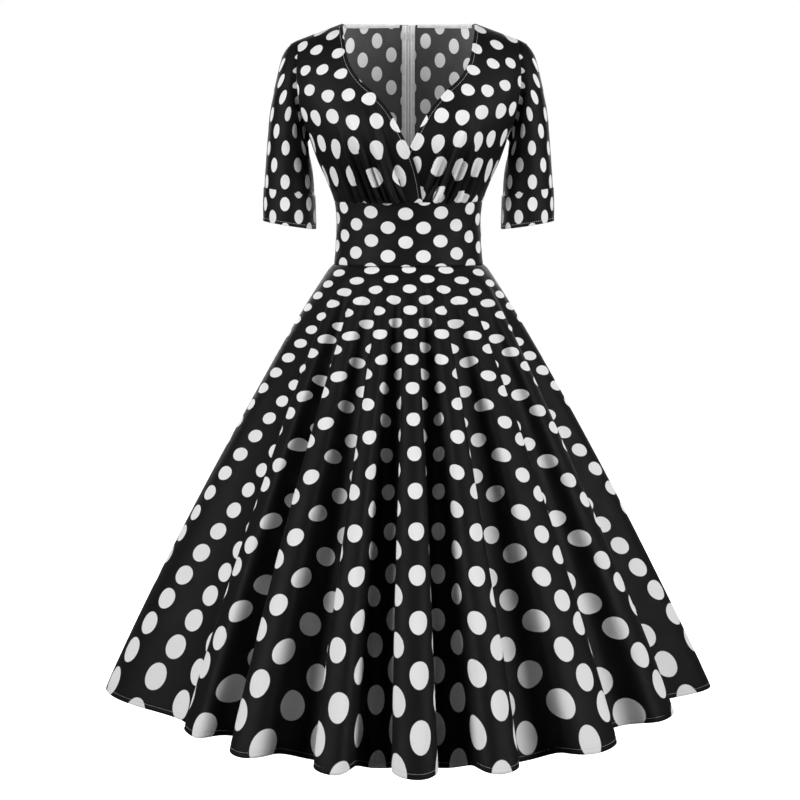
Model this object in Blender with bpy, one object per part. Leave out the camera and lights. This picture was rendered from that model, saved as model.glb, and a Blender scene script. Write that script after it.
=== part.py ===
"""A-line dress with a surplice bodice, half sleeves, a wide midriff band and a flared skirt.

The dress keeps the form it has when worn, with no wearer in it. Units are metres, +Z up,
the front faces -Y and the wearer's right side is at -X. The origin lies midway between the
two shoulder neck points, where the wearer's shoulders hold the dress.
"""

import math

import bmesh
import bpy
import numpy as np
from mathutils import Matrix

# ---------------------------------------------------------------- driving dimensions
CLOTH = 0.0012  # wall of one layer of cotton
SEAM_GAP = 0.0003  # between neighbouring pieces
HALF_GAP = SEAM_GAP / 2
BAND_HALF_WIDTH, WAIST_HALF_WIDTH, WAIST_DEPTH = 0.13, 0.1175, 0.090

NECK_HALF_WIDTH = 0.103  # shoulder neck points
SHOULDER_HALF_WIDTH = 0.174  # shoulder tips
NECK_POINT_Z = -0.005
BACK_NECK_LIFT = 0.0035  # at the centre of the back neck
SHOULDER_DROP = 0.026
BACK_NECK_RISE = 0.045  # how far the ridge would close over the neck
CHEST_ROUNDING = 0.130  # height over which the chest curves up to the shoulder
BLADE_ROUNDING = 0.100  # the same at the shoulder blades

BAND_TOP = -0.280
BAND_BOTTOM = -0.3775
HEM = -1.066

# Horizontal sections of the figure. Squareness is the power of the ring's sine and cosine:
# 1 is an ellipse, and less is squarer.
# Columns: z, half width, depth in front, depth behind, squareness.
TORSO = (
    (0.040, 0.180, 0.098, 0.086, 0.62),
    (-0.030, 0.180, 0.100, 0.092, 0.62),
    (-0.100, 0.178, 0.104, 0.100, 0.62),
    (-0.150, 0.167, 0.107, 0.101, 0.67),
    (-0.185, 0.1535, 0.108, 0.099, 0.76),
    (-0.216, 0.1425, 0.106, 0.095, 0.84),
    (-0.248, 0.1280, 0.100, 0.090, 0.92),
    (BAND_TOP, 0.1165, 0.094, 0.085, 0.96),
    (-0.327, 0.1135, 0.089, 0.081, 0.98),
    (BAND_BOTTOM, 0.1175, 0.093, 0.087, 1.00),
)

BUST = {"x": 0.078, "z": -0.182, "out": 0.024, "wide": 0.050, "tall": 0.052}

# The armhole is an oval seen from the side.
ARMHOLE_TOP = NECK_POINT_Z - SHOULDER_DROP
ARMHOLE_BOTTOM = -0.183
ARMHOLE_FRONT = 0.046
ARMHOLE_BACK = 0.050

# The neckline of one front, from the shoulder neck point to the top of the midriff band.
# x is measured from the centre towards the piece's own shoulder, so it ends past the centre.
# Columns: x, z.
NECKLINE = (
    (0.1030, NECK_POINT_Z),
    (0.0995, -0.036),
    (0.0885, -0.073),
    (0.0590, -0.103),
    (0.0290, -0.137),
    (0.0000, -0.192),
    (-0.0140, -0.234),
    (-0.0215, BAND_TOP),
)

# Gathers above the midriff band, on each front, measured along the band from the centre.
# Columns: x, width, height off the form, reach up the bodice.
GATHERS = (
    (0.008, 0.010, 0.0040, 0.060),
    (0.019, 0.011, 0.0055, 0.095),
    (0.030, 0.011, 0.0046, 0.070),
    (0.0405, 0.011, 0.0060, 0.105),
    (0.0515, 0.011, 0.0046, 0.074),
    (0.062, 0.011, 0.0056, 0.092),
    (0.073, 0.011, 0.0042, 0.062),
    (0.084, 0.011, 0.0048, 0.070),
    (0.095, 0.010, 0.0030, 0.045),
)
UNDER_GATHERS_FROM = 0.023  # the lower front lies flat under the upper one's edge
GATHER_LEAN = 0.34  # how far a gather moves away from the centre for each metre it rises

# Folds of the skirt at the hem, from the centre front towards the wearer's left.
# Columns: crest angle in degrees, crest radius, trough angle, trough radius.
FOLDS = (
    (-94.0, 0.494, -65.0, 0.388),
    (-50.5, 0.411, -45.5, 0.362),
    (-34.5, 0.431, -24.5, 0.384),
    (-13.5, 0.450, -8.5, 0.396),
    (1.5, 0.458, 9.5, 0.396),
    (16.5, 0.451, 26.5, 0.402),
    (39.5, 0.431, 54.0, 0.380),
    (71.5, 0.432, 80.0, 0.388),
    (93.5, 0.4955, 106.0, 0.392),
    (118.5, 0.458, 129.0, 0.374),
    (139.0, 0.452, 149.5, 0.366),
    (159.5, 0.450, 169.5, 0.372),
    (180.0, 0.452, 190.5, 0.372),
    (200.5, 0.450, 211.0, 0.366),
    (221.0, 0.452, 232.0, 0.374),
    (243.0, 0.458, 255.0, 0.394),
)
FOLD_FULLNESS = 1.05  # 0 is a plain wave, and 1 or more has upright or tucked-in flanks
SIDE_FULLNESS = {0: 0.1, 15: 0.1}  # the two flanks at the wearer's sides hang flatter
FOLD_START = 0.03  # share of the skirt's length that hangs smooth under the band
TROUGH_DROP = 0.006  # the hem hangs lower in the troughs
HEM_OVAL = (0.448, 0.412)  # half width and half depth that the folds swing about
FLARE_SWELL = 0.16  # how much faster than a cone the skirt widens under the band
SKIRT_ROWS = (0.0, 0.05, 0.12, 0.20, 0.34, 0.54, 0.77, 1.0)
FOLD_STEPS = 5  # faces from a crest to the next trough

# Sleeve sections, from the armhole to the cuff: the outer and the inner edge seen from the
# front, and half of the depth from front to back.
# Columns: outer x, outer z, inner x, inner z, half depth.
SLEEVE = (
    (0.1745, -0.0310, 0.1560, -0.1835, 0.048),
    (0.1880, -0.0400, 0.1575, -0.1860, 0.050),
    (0.1970, -0.0560, 0.1580, -0.1890, 0.052),
    (0.2050, -0.0820, 0.1580, -0.1930, 0.054),
    (0.2115, -0.1120, 0.1570, -0.1990, 0.055),
    (0.2170, -0.1490, 0.1550, -0.2080, 0.055),
    (0.2210, -0.1900, 0.1515, -0.2250, 0.055),
    (0.2245, -0.2250, 0.1490, -0.2480, 0.055),
    (0.2265, -0.2620, 0.1480, -0.2750, 0.055),
)
SLEEVE_ROWS = 8
SLEEVE_SEAM_GAP = 0.0006
CUFF_HEIGHT = 0.045
CUFF_SPREAD = 0.0012
CUFF_CLEARANCE = 0.0005  # between the sleeve and the turned-back cuff round it
CUFF_LAP = 0.004  # how far the cuff reaches up over the sleeve's end
CUFF_STEPS = 3

ZIP_TOP = NECK_POINT_Z - 0.0015
ZIP_SKIRT_ROWS = SKIRT_ROWS[1:4]
TAPE_EDGES = (0.0024, 0.0115)  # a tape's inner and outer edge, from the centre back
TAPE_WALL = 0.0010
TAPE_CLEARANCE = 0.0011  # between the cloth and the zip inside it
COIL_HALF_WIDTH = 0.0017
COIL_WALL = 0.0016
COIL_TOP = -0.0255
ZIP_MOUTH = 0.0032  # opening between the two backs at the neck edge
ZIP_MOUTH_LENGTH = 0.045

SLIDER_Z = -0.0160
SLIDER_SIZE = (0.0070, 0.0022, 0.0110)  # the body inside the tapes
BRIDGE_WIDTH = 0.0014
EYE_OUT = 0.0036  # the pull's axis stands this far off the cloth
EYE_INNER, EYE_OUTER = 0.0012, 0.0022  # radii of the eye that holds the pull
BAR_RADIUS = 0.0008
PULL_LENGTH = 0.0230
PULL_WIDTH = 0.0070
PULL_WALL = 0.0013
PULL_WINDOW = (0.0026, 0.0032)  # opening under the bar: width and height
STOP_SIZE = (0.0036, 0.0012, 0.0022)

NECK_TAPE_HEIGHT = 0.0068
NECK_TAPE_DOWN = 0.0015  # below the edge of the neck
NECK_TAPE_START = 0.0125
NECK_TAPE_CLEARANCE = 0.0004

COTTON = (0.012, 0.012, 0.013)
TAPE_GREY = (0.45, 0.45, 0.45)
METAL_GREY = (0.30, 0.30, 0.31)

FRONT_ROWS = (0.0, 0.11, 0.22, 0.33, 0.44, 0.56, 0.67, 0.78, 0.89, 1.0)
BACK_ROWS = (0.0, 0.058, 0.16, 0.28, 0.40, 0.53, 0.66, 0.78, 0.89, 1.0)
FRONT_NECK_STEPS = 24
BACK_NECK_STEPS = 8
SHOULDER_STEPS = 5  # the same on both sides of the shoulder seam
ARMHOLE_STEPS = 12  # on each of the front and the back, as on the sleeve
FRONT_SIDE, BACK_SIDE = -1.0, 1.0


# ---------------------------------------------------------------- curves
def smooth_table(rows, at, key=0):
    """Values of a table at the given keys, on a smooth curve through its rows."""
    table = np.array(sorted(rows, key=lambda row: row[key]), float)
    keys = table[:, key]
    at = np.clip(np.asarray(at, float), keys[0], keys[-1])
    slopes = np.gradient(table, keys, axis=0)
    low = np.clip(np.searchsorted(keys, at, side="right") - 1, 0, len(keys) - 2)
    span = keys[low + 1] - keys[low]
    s = ((at - keys[low]) / span)[..., None]
    span = span[..., None]
    return (
        table[low] * (2 * s**3 - 3 * s**2 + 1)
        + slopes[low] * span * (s**3 - 2 * s**2 + s)
        + table[low + 1] * (3 * s**2 - 2 * s**3)
        + slopes[low + 1] * span * (s**3 - s**2)
    )


def length_along(points):
    """Length of a line of points up to each of them."""
    steps = np.linalg.norm(np.diff(points, axis=0), axis=1)
    return np.concatenate([[0.0], np.cumsum(steps)])


def along_points(points, shares):
    """Points at the given shares of the length of a smooth curve through the points."""
    points = np.array(points, float)
    knots = length_along(points)
    rows = np.column_stack([knots / knots[-1], points])
    return smooth_table(rows, shares)[..., 1:]


def smooth_step(value):
    value = np.clip(value, 0.0, 1.0)
    return value * value * (3 - 2 * value)


# ---------------------------------------------------------------- the figure's form
def torso_at(z):
    """Half width, front depth, back depth and squareness of the ring at height z."""
    found = smooth_table(TORSO, z)
    return found[..., 1], found[..., 2], found[..., 3], found[..., 4]


def ridge_height(x):
    """Height of the shoulder line at a distance from the centre."""
    x = np.abs(x)
    slope = SHOULDER_DROP / (SHOULDER_HALF_WIDTH - NECK_HALF_WIDTH)
    over_neck = BACK_NECK_RISE * (1 - (x / NECK_HALF_WIDTH) ** 2)
    over_arm = -slope * (x - NECK_HALF_WIDTH)
    return NECK_POINT_Z + np.where(x < NECK_HALF_WIDTH, over_neck, over_arm)


def bust_swell(x, z):
    """How far the two cups stand out of the ribs."""
    across = (np.abs(x) - BUST["x"]) / BUST["wide"]
    up = (z - BUST["z"]) / BUST["tall"]
    between = 0.35 * np.exp(-((x / 0.05) ** 2)) * np.exp(-(up**2))
    return BUST["out"] * (np.exp(-(across**2) - up**2) + between)


def form(angle, z, side):
    """Point on the figure: angle is 0 at the centre and a right angle at the side."""
    half_width, front, back, power = torso_at(z)
    x = half_width * np.sign(np.sin(angle)) * np.abs(np.sin(angle)) ** power
    is_front = side < 0
    depth = front if is_front else back
    rounding = CHEST_ROUNDING if is_front else BLADE_ROUNDING
    share = np.clip((ridge_height(x) - z) / rounding, 0.0, 1.0)
    roundness = np.sqrt(share * (2 - share))
    depth = depth * np.abs(np.cos(angle)) ** power * roundness
    if is_front:
        fade = np.abs(np.cos(angle)) ** 0.5 * roundness
        depth = depth + bust_swell(x, z) * fade
    return np.stack(np.broadcast_arrays(x, side * depth, z), axis=-1)


def form_normals(angle, z, side):
    """Unit normals of the figure, pointing out of it."""
    step = 1e-4
    around = form(angle + step, z, side) - form(angle - step, z, side)
    up = form(angle, z + step, side) - form(angle, z - step, side)
    normals = np.cross(around, up) * -side
    return normals / np.linalg.norm(normals, axis=-1, keepdims=True)


def angle_of_x(x, z):
    """The ring angle at which the figure has this x."""
    half_width, _, _, power = torso_at(z)
    share = np.clip(np.abs(x) / half_width, 0.0, 1.0)
    return np.sign(x) * np.arcsin(share ** (1 / power))


def armhole_angle(turn, side):
    """Ring angle and height of the armhole; turn is 0 at the shoulder and pi underarm."""
    middle = (ARMHOLE_TOP + ARMHOLE_BOTTOM) / 2
    z = middle + (ARMHOLE_TOP - ARMHOLE_BOTTOM) / 2 * np.cos(turn)
    wanted = (ARMHOLE_FRONT if side < 0 else ARMHOLE_BACK) * np.sin(turn)
    low, high = np.full_like(z, 0.6), np.full_like(z, math.pi / 2)
    for _ in range(50):
        guess = (low + high) / 2
        depth = np.abs(form(guess, z, side)[..., 1])
        low = np.where(depth > wanted, guess, low)
        high = np.where(depth > wanted, high, guess)
    return (low + high) / 2, z


# ---------------------------------------------------------------- meshes and solids
def material(name, colour, roughness, metallic=0.0):
    made = bpy.data.materials.get(name)
    if made is None:
        made = bpy.data.materials.new(name)
        made.use_nodes = True
        shader = made.node_tree.nodes["Principled BSDF"]
        shader.inputs["Base Color"].default_value = (*colour, 1.0)
        shader.inputs["Roughness"].default_value = roughness
        shader.inputs["Metallic"].default_value = metallic
    return made


def cotton():
    return material("printed_cotton", COTTON, 0.75)


def add_object(name, mesh, finish):
    made = bpy.data.objects.new(name, mesh)
    bpy.data.collections["dress"].objects.link(made)
    mesh.materials.append(finish)
    return made


def grid_faces(rows, columns, ring):
    """Quads of a grid of points; a ring joins its last column to its first."""
    quads = []
    for r in range(rows - 1):
        for c in range(columns if ring else columns - 1):
            right = (c + 1) % columns
            quads.append(
                (
                    r * columns + c,
                    (r + 1) * columns + c,
                    (r + 1) * columns + right,
                    r * columns + right,
                )
            )
    return quads


def grid_normals(points, ring):
    """Unit normals of a grid of points, from the slopes along its rows and columns."""
    if ring:
        wide = np.concatenate([points[:, -1:], points, points[:, :1]], axis=1)
        across = (wide[:, 2:] - wide[:, :-2]) / 2
    else:
        across = np.gradient(points, axis=1)
    down = np.gradient(points, axis=0)
    normals = np.cross(down, across)
    return normals / np.linalg.norm(normals, axis=-1, keepdims=True)


def rim_faces(rows, columns, ring):
    """Quads that join the edges of an outer grid to those of the inner grid after it."""
    last = rows * columns
    top = [(0, c) for c in range(columns)] + ([(0, 0)] if ring else [])
    low = [(rows - 1, c) for c in range(columns)][::-1]
    low = ([(rows - 1, 0)] if ring else []) + low
    sides = [] if ring else [
        [(r, columns - 1) for r in range(rows)],
        [(r, 0) for r in range(rows)][::-1],
    ]
    quads = []
    for edge in [top, low, *sides]:
        places = [r * columns + c for r, c in edge]
        for a, b in zip(places[:-1], places[1:]):
            quads.append((a, b, b + last, a + last))
    return quads


def turned_over(quad):
    """The quad facing the other way, split along the same diagonal."""
    return quad[0], quad[3], quad[2], quad[1]


def cloth_piece(
    name,
    points,
    finish,
    wall=CLOTH,
    ring=False,
    flip=False,
    normals=None,
    low=None,
    high=None,
):
    """A wall of cloth whose outer face runs through a grid of points.

    The grid's rows run from top to bottom and its columns anticlockwise seen from above,
    which turns the faces outwards. flip is for a grid whose columns run the other way. low
    and high hold the inner face inside the planes of the seams.
    """
    outer = np.asarray(points, float)
    if normals is None:
        normals = grid_normals(outer, ring) * (-1 if flip else 1)
    inner = outer - wall * normals
    low = (-9.0, -9.0, -9.0) if low is None else low
    high = (9.0, 9.0, 9.0) if high is None else high
    outer = np.clip(outer, low, high)
    inner = np.clip(inner, low, high)
    rows, columns = outer.shape[:2]
    shell = grid_faces(rows, columns, ring)
    back = [tuple(i + rows * columns for i in turned_over(quad)) for quad in shell]
    faces = shell + back + rim_faces(rows, columns, ring)
    if flip:
        faces = [turned_over(quad) for quad in faces]
    mesh = bpy.data.meshes.new(name)
    mesh.from_pydata(np.vstack([outer.reshape(-1, 3), inner.reshape(-1, 3)]), [], faces)
    mesh.update()
    mesh.shade_smooth()
    return add_object(name, mesh, finish)


# ---------------------------------------------------------------- bodice
def gather_lift(x, z):
    """How far the gathers above the band stand out at a place on one front."""
    above = z - BAND_TOP
    foot = x - GATHER_LEAN * above
    lift = np.zeros(np.broadcast(x, z).shape)
    for place, width, height, reach in GATHERS:
        spread = 0.34 * width * (1 + 0.9 * above / reach)
        swell = 0.6 + 0.4 * smooth_step(above / 0.015)
        fade = 1 - smooth_step(above / reach)
        lift = lift + height * swell * fade * np.exp(-(((foot - place) / spread) ** 2))
    return lift


def gathered_edge(columns):
    """Ring angles of a front's columns along the band, on each gather's crest and foot."""
    crests = np.array([row[0] for row in GATHERS])
    feet = (crests[1:] + crests[:-1]) / 2
    x = np.sort(np.concatenate([crests, feet, [crests[-1] + (crests[-1] - feet[-1])]]))
    start = np.linspace(NECKLINE[-1][0], x[0] - 0.0055, 5)
    pleated = angle_of_x(np.concatenate([start, x]), BAND_TOP)
    end = math.pi / 2 - HALF_GAP / BAND_HALF_WIDTH
    rest = np.linspace(pleated[-1], end, columns - len(pleated) + 1)[1:]
    return np.concatenate([pleated, rest])


def top_edge(neck_x, neck_z, side):
    """Ring angle and height of the points along a panel's neck, shoulder and armhole."""
    run = np.linspace(0.0, 1.0, SHOULDER_STEPS + 1)[1:]
    shoulder_x = NECK_HALF_WIDTH + run * (SHOULDER_HALF_WIDTH - NECK_HALF_WIDTH)
    shoulder_z = ridge_height(shoulder_x + 1e-9)
    turns = np.linspace(0.0, math.pi, ARMHOLE_STEPS + 1)[1:]
    arm_angle, arm_z = armhole_angle(turns, side)
    straight_z = np.concatenate([neck_z, shoulder_z])
    straight = angle_of_x(np.concatenate([neck_x, shoulder_x]), straight_z)
    end = math.pi / 2 - HALF_GAP / BAND_HALF_WIDTH
    angle = np.minimum(np.concatenate([straight, arm_angle]), end)
    return angle, np.concatenate([straight_z, arm_z])


def panel_grid(top_angle, top_z, low_angle, side):
    """Ring angles, points and normals of a panel from its top edge to the midriff band."""
    down = np.array(FRONT_ROWS if side < 0 else BACK_ROWS)[:, None]
    fall = 0.5 * down + 0.5 * smooth_step(down)
    z = top_z + (BAND_TOP + SEAM_GAP - top_z) * fall
    turn = smooth_step(0.25 * down + 0.75 * down**1.2)
    angle = top_angle + (low_angle - top_angle) * turn
    points = form(angle, z, side)
    normals = form_normals(angle, np.minimum(z, ridge_height(points[..., 0]) - 2e-4), side)
    shoulder = np.abs(points[0, :, 1]) < HALF_GAP
    points[0, shoulder, 1] = side * HALF_GAP
    return angle, points, normals


def wrap_offset(x, over):
    """Keeps the upper front clear of the lower one where they cross."""
    near = 1 - smooth_step((np.abs(x) - 0.030) / 0.035)
    return (0.0016 if over else -0.0011) * near


def front_points(over):
    """Outer points of one front, for the side at +X."""
    lowest = BAND_TOP + 0.005  # the wrap's corner keeps a short upright edge
    neck = along_points(NECKLINE[::-1], np.linspace(0.0, 1.0, FRONT_NECK_STEPS + 1))
    neck_z = np.maximum(neck[:, 1], lowest)
    top_angle, top_z = top_edge(neck[:, 0], neck_z, FRONT_SIDE)
    low_angle = gathered_edge(len(top_z))
    angle, points, normals = panel_grid(top_angle, top_z, low_angle, FRONT_SIDE)
    x, z = points[..., 0], points[..., 2]
    lift = gather_lift(x, z)
    if not over:
        lift = lift * smooth_step((x - UNDER_GATHERS_FROM) / 0.015)
    lift = lift * np.abs(np.cos(angle)) ** 0.5
    return points + normals * (lift + wrap_offset(x, over))[..., None], normals


def back_points():
    """Outer points of one back, for the side at +X."""
    run = np.linspace(0.0, 1.0, BACK_NECK_STEPS + 1)
    share = 0.5 * run + 0.5 * np.sin(run * math.pi / 2)
    neck_x = ZIP_MOUTH / 2 + share * (NECK_HALF_WIDTH - ZIP_MOUTH / 2)
    neck_z = NECK_POINT_Z + BACK_NECK_LIFT * (1 - (neck_x / NECK_HALF_WIDTH) ** 2)
    top_angle, top_z = top_edge(neck_x, neck_z, BACK_SIDE)
    low_angle = np.linspace(0.0, top_angle[-1], len(top_z))
    _, points, normals = panel_grid(top_angle, top_z, low_angle, BACK_SIDE)
    points[:, 0, 0] = np.maximum(zip_half_gap(points[:, 0, 2]), HALF_GAP)
    return points, normals


def zip_half_gap(z):
    """Half of the opening between the two backs, wide at the neck and closed below."""
    closing = 1 - smooth_step((NECK_POINT_Z - z) / ZIP_MOUTH_LENGTH)
    return HALF_GAP + (ZIP_MOUTH / 2 - HALF_GAP) * closing


def mirrored(points):
    return points * np.array([-1.0, 1.0, 1.0])


def make_bodice():
    fore = {"high": (9.0, -HALF_GAP, 9.0)}
    over, normals = (mirrored(grid) for grid in front_points(True))
    cloth_piece("bodice_front_right", over, cotton(), flip=True, normals=normals, **fore)
    under, normals = front_points(False)
    cloth_piece("bodice_front_left", under, cotton(), normals=normals, **fore)
    back, normals = back_points()
    hind = {"low": (HALF_GAP, HALF_GAP, -9.0), "flip": True}
    cloth_piece("bodice_back_left", back, cotton(), normals=normals, **hind)
    back, normals = mirrored(back), mirrored(normals)
    hind = {"low": (-9.0, HALF_GAP, -9.0), "high": (-HALF_GAP, 9.0, 9.0)}
    cloth_piece("bodice_back_right", back, cotton(), normals=normals, **hind)


# ---------------------------------------------------------------- midriff band
def band_points(start, end, side, columns, rows=4):
    """Outer points of a stretch of the band between two ring angles."""
    angle = np.linspace(start, end, columns)[None, :]
    z = np.linspace(BAND_TOP, BAND_BOTTOM, rows)[:, None]
    return form(angle, np.broadcast_to(z, (rows, columns)), side)


def make_band():
    side = math.pi / 2 - HALF_GAP / WAIST_HALF_WIDTH
    centre = HALF_GAP / WAIST_HALF_WIDTH
    front = band_points(-side, side, FRONT_SIDE, 25)
    fore = {"low": (-9.0, -9.0, BAND_BOTTOM), "high": (9.0, -HALF_GAP, BAND_TOP)}
    cloth_piece("midriff_front", front, cotton(), **fore)
    back = band_points(centre, side, BACK_SIDE, 13)
    hind = {"low": (HALF_GAP, HALF_GAP, BAND_BOTTOM), "high": (9.0, 9.0, BAND_TOP)}
    cloth_piece("midriff_back_left", back, cotton(), flip=True, **hind)
    hind = {"low": (-9.0, HALF_GAP, BAND_BOTTOM), "high": (-HALF_GAP, 9.0, BAND_TOP)}
    cloth_piece("midriff_back_right", mirrored(back), cotton(), **hind)


# ---------------------------------------------------------------- skirt
def hem_keys():
    """Crests and troughs of the hem in turn: angle in radians and radius."""
    keys = []
    for crest_deg, crest_r, trough_deg, trough_r in FOLDS:
        keys.append((math.radians(crest_deg), crest_r, 0.0))
        keys.append((math.radians(trough_deg), trough_r, -TROUGH_DROP))
    first = keys[0]
    keys.append((first[0] + 2 * math.pi, first[1], first[2]))
    return np.array(keys)


def hem_curve(place):
    """Point of the hem at a place counted in crests and troughs from the first fold.

    From a crest to the next trough the radius falls as a cosine. The angle grows with a
    sine added, which makes the crest broad and the flank upright.
    """
    keys = hem_keys()
    place = np.asarray(place, float)
    low = np.clip(np.floor(place).astype(int), 0, len(keys) - 2)
    s = place - low
    ease = (1 - np.cos(math.pi * s)) / 2
    fullness = np.full(len(keys), FOLD_FULLNESS)
    for flank, flatter in SIDE_FULLNESS.items():
        fullness[flank] = flatter
    turn = s + fullness[low] * np.sin(2 * math.pi * s) / (2 * math.pi)
    angle = keys[low, 0] + (keys[low + 1, 0] - keys[low, 0]) * turn
    radius = keys[low, 1] + (keys[low + 1, 1] - keys[low, 1]) * ease
    drop = keys[low, 2] + (keys[low + 1, 2] - keys[low, 2]) * ease
    return np.stack(
        [radius * np.sin(angle), -radius * np.cos(angle), HEM + drop], axis=-1
    )


def hem_places():
    """Closely spaced places round the hem, the hem's length before each, and the front's."""
    places = np.linspace(0.0, 2 * len(FOLDS), 2 * len(FOLDS) * 40 + 1)
    points = hem_curve(places)
    run = length_along(points)
    front = (np.abs(points[:, 0]) + (points[:, 1] > 0)).argmin()
    return places, run, run[front]


def waist_point(share):
    """Point on the band's lower edge at a share of the way round from the centre front."""
    angle = np.linspace(0.0, 2 * math.pi, 721)
    run = length_along(np.column_stack(waist_ring(angle)))
    at = np.interp(np.mod(share, 1.0) * run[-1], run, angle)
    x, y = waist_ring(at)
    return np.stack(np.broadcast_arrays(x, y, BAND_BOTTOM - SEAM_GAP), axis=-1)


def waist_ring(angle):
    half_width, front, back, _ = torso_at(np.array(BAND_BOTTOM))
    depth = np.where(np.cos(angle) > 0, front, back)
    return half_width * np.sin(angle), -depth * np.cos(angle)


def place_of_share(share):
    """Place on the hem at a share of its length, counted from the centre front."""
    places, run, front = hem_places()
    wanted = np.mod(np.asarray(share) + front / run[-1], 1.0) * run[-1]
    return np.interp(wanted, run, places)


def share_of_place(place):
    places, run, front = hem_places()
    return (np.interp(place, places, run) - front) / run[-1]


def skirt_surface(share, down):
    """Point of the skirt at a share of the way round and of the way down.

    Straight threads run from the band to the hem. Under the band the skirt keeps the
    band's oval for a short way, and it swells in front and behind.
    """
    top = waist_point(share)
    hem = hem_curve(place_of_share(share))
    middle = hem_oval(share)
    growth = np.clip((down - FOLD_START) / (1 - FOLD_START), 0.0, 1.0)
    flare = down + FLARE_SWELL * down**0.7 * (1 - down) ** 0.8
    level = np.broadcast_to(down, flare.shape)
    out = np.concatenate([flare, flare, level], axis=-1)
    return top + (middle - top) * out + (hem - middle) * growth


def hem_oval(share):
    """The smooth oval that the hem's folds swing about."""
    top = waist_point(share)
    angle = np.arctan2(top[..., 0] / WAIST_HALF_WIDTH, -top[..., 1] / WAIST_DEPTH)
    across, deep = HEM_OVAL
    return np.stack(
        [across * np.sin(angle), -deep * np.cos(angle), np.full_like(angle, HEM)], axis=-1
    )


def skirt_panel(start, end):
    """Outer points of a skirt panel between two shares of the way round."""
    total = 2 * len(FOLDS)
    whole = np.arange(0, total * FOLD_STEPS + 1) / FOLD_STEPS
    shares = np.mod(share_of_place(whole), 1.0)
    shares = np.unique(np.round(np.concatenate([shares - 1, shares]), 9))
    inner = shares[(shares > start + 0.0015) & (shares < end - 0.0015)]
    edge = HALF_GAP / (2 * math.pi * WAIST_DEPTH)
    shares = np.concatenate([[start + edge], inner, [end - edge]])
    down = np.array(SKIRT_ROWS)[:, None, None]
    return skirt_surface(np.broadcast_to(shares, (len(SKIRT_ROWS), len(shares))), down)


def make_skirt():
    top = BAND_BOTTOM - SEAM_GAP
    cloth_piece("skirt_front", skirt_panel(-0.25, 0.25), cotton(), high=(9.0, 9.0, top))
    cloth_piece("skirt_back_left", skirt_panel(0.25, 0.5), cotton(), high=(9.0, 9.0, top))
    cloth_piece("skirt_back_right", skirt_panel(-0.5, -0.25), cotton(), high=(9.0, 9.0, top))


# ---------------------------------------------------------------- sleeves and cuffs
def armhole_loop(turns):
    """Points of the armhole, from the shoulder round the front to the underarm and up."""
    front = turns <= math.pi
    fore = form(*armhole_angle(np.where(front, turns, 0.0), FRONT_SIDE), FRONT_SIDE)
    hind = form(*armhole_angle(np.where(front, 0.0, 2 * math.pi - turns), BACK_SIDE), BACK_SIDE)
    return np.where(front[:, None], fore, hind)


def sleeve_ring(share, turns):
    """Ring of the sleeve at a share of its length."""
    rows = np.column_stack([np.linspace(0, 1, len(SLEEVE)), SLEEVE])
    _, outer_x, outer_z, inner_x, inner_z, depth = smooth_table(rows, share)
    middle = np.array([(outer_x + inner_x) / 2, 0.002, (outer_z + inner_z) / 2])
    reach = np.array([(outer_x - inner_x) / 2, 0.0, (outer_z - inner_z) / 2])
    forward = np.array([0.0, -depth, 0.0])
    return middle + reach * np.cos(turns)[:, None] + forward * np.sin(turns)[:, None]


def sleeve_turns():
    return np.linspace(0, 2 * math.pi, 2 * ARMHOLE_STEPS, endpoint=False)


def sleeve_points():
    """Outer points of the sleeve at +X. Its first ring follows the armhole."""
    turns = sleeve_turns()
    loop = armhole_loop(turns)
    seam = loop + np.array([SLEEVE_SEAM_GAP, 0.0, 0.0])
    shift = seam - sleeve_ring(0.0, turns)
    rings = []
    for share in np.linspace(0, 1, SLEEVE_ROWS):
        rings.append(sleeve_ring(share, turns) + shift * (1 - smooth_step(share / 0.35)))
    return np.array(rings)


def make_sleeves():
    points = sleeve_points()
    normals = -grid_normals(points, ring=True)
    normals[0, :, 0] = 0.0
    normals /= np.linalg.norm(normals, axis=-1, keepdims=True)
    cloth_piece("sleeve_left", points, cotton(), ring=True, flip=True, normals=normals)
    points, normals = mirrored(points), mirrored(normals)
    cloth_piece("sleeve_right", points, cotton(), ring=True, normals=normals)
    cuff = cuff_points()
    cloth_piece("cuff_left", cuff, cotton(), ring=True, flip=True)
    cloth_piece("cuff_right", mirrored(cuff), cotton(), ring=True)


def cuff_points():
    """Outer points of the turned-back cuff at +X, a straight tube round the sleeve's end."""
    end = sleeve_ring(1.0, sleeve_turns())
    centre = end.mean(axis=0)
    outward = end - centre
    outward[:, 2] = 0
    outward /= np.linalg.norm(outward, axis=1, keepdims=True)
    top = end + outward * (CUFF_CLEARANCE + CLOTH)
    top[:, 2] = end[:, 2] + CUFF_LAP
    low = top + outward * CUFF_SPREAD
    low[:, 2] = top[:, 2] - CUFF_HEIGHT
    down = np.linspace(0, 1, CUFF_STEPS + 1)[:, None, None]
    return top + (low - top) * down


# ---------------------------------------------------------------- zip
def back_strip(offsets, heights, skirt_rows=()):
    """Outer points of the centre back, at offsets from the seam towards the wearer's left.

    Rows run down at the given heights and then at shares of the skirt's length.
    """
    offsets = np.asarray(offsets, float)
    rows = []
    for z in heights:
        level = np.full_like(offsets, z)
        rows.append(form(angle_of_x(offsets, level), level, BACK_SIDE))
    for down in skirt_rows:
        pair = skirt_surface(np.array([0.5, 0.499]), np.full((2, 1), down))
        speed = np.linalg.norm(pair[0] - pair[1]) / 0.001
        rows.append(skirt_surface(0.5 - offsets / speed, np.full((len(offsets), 1), down)))
    return np.array(rows)


def moved_in(points, distance):
    """The grid moved towards the wearer. Its columns run clockwise seen from above."""
    return points + distance * grid_normals(points, ring=False)


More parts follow.
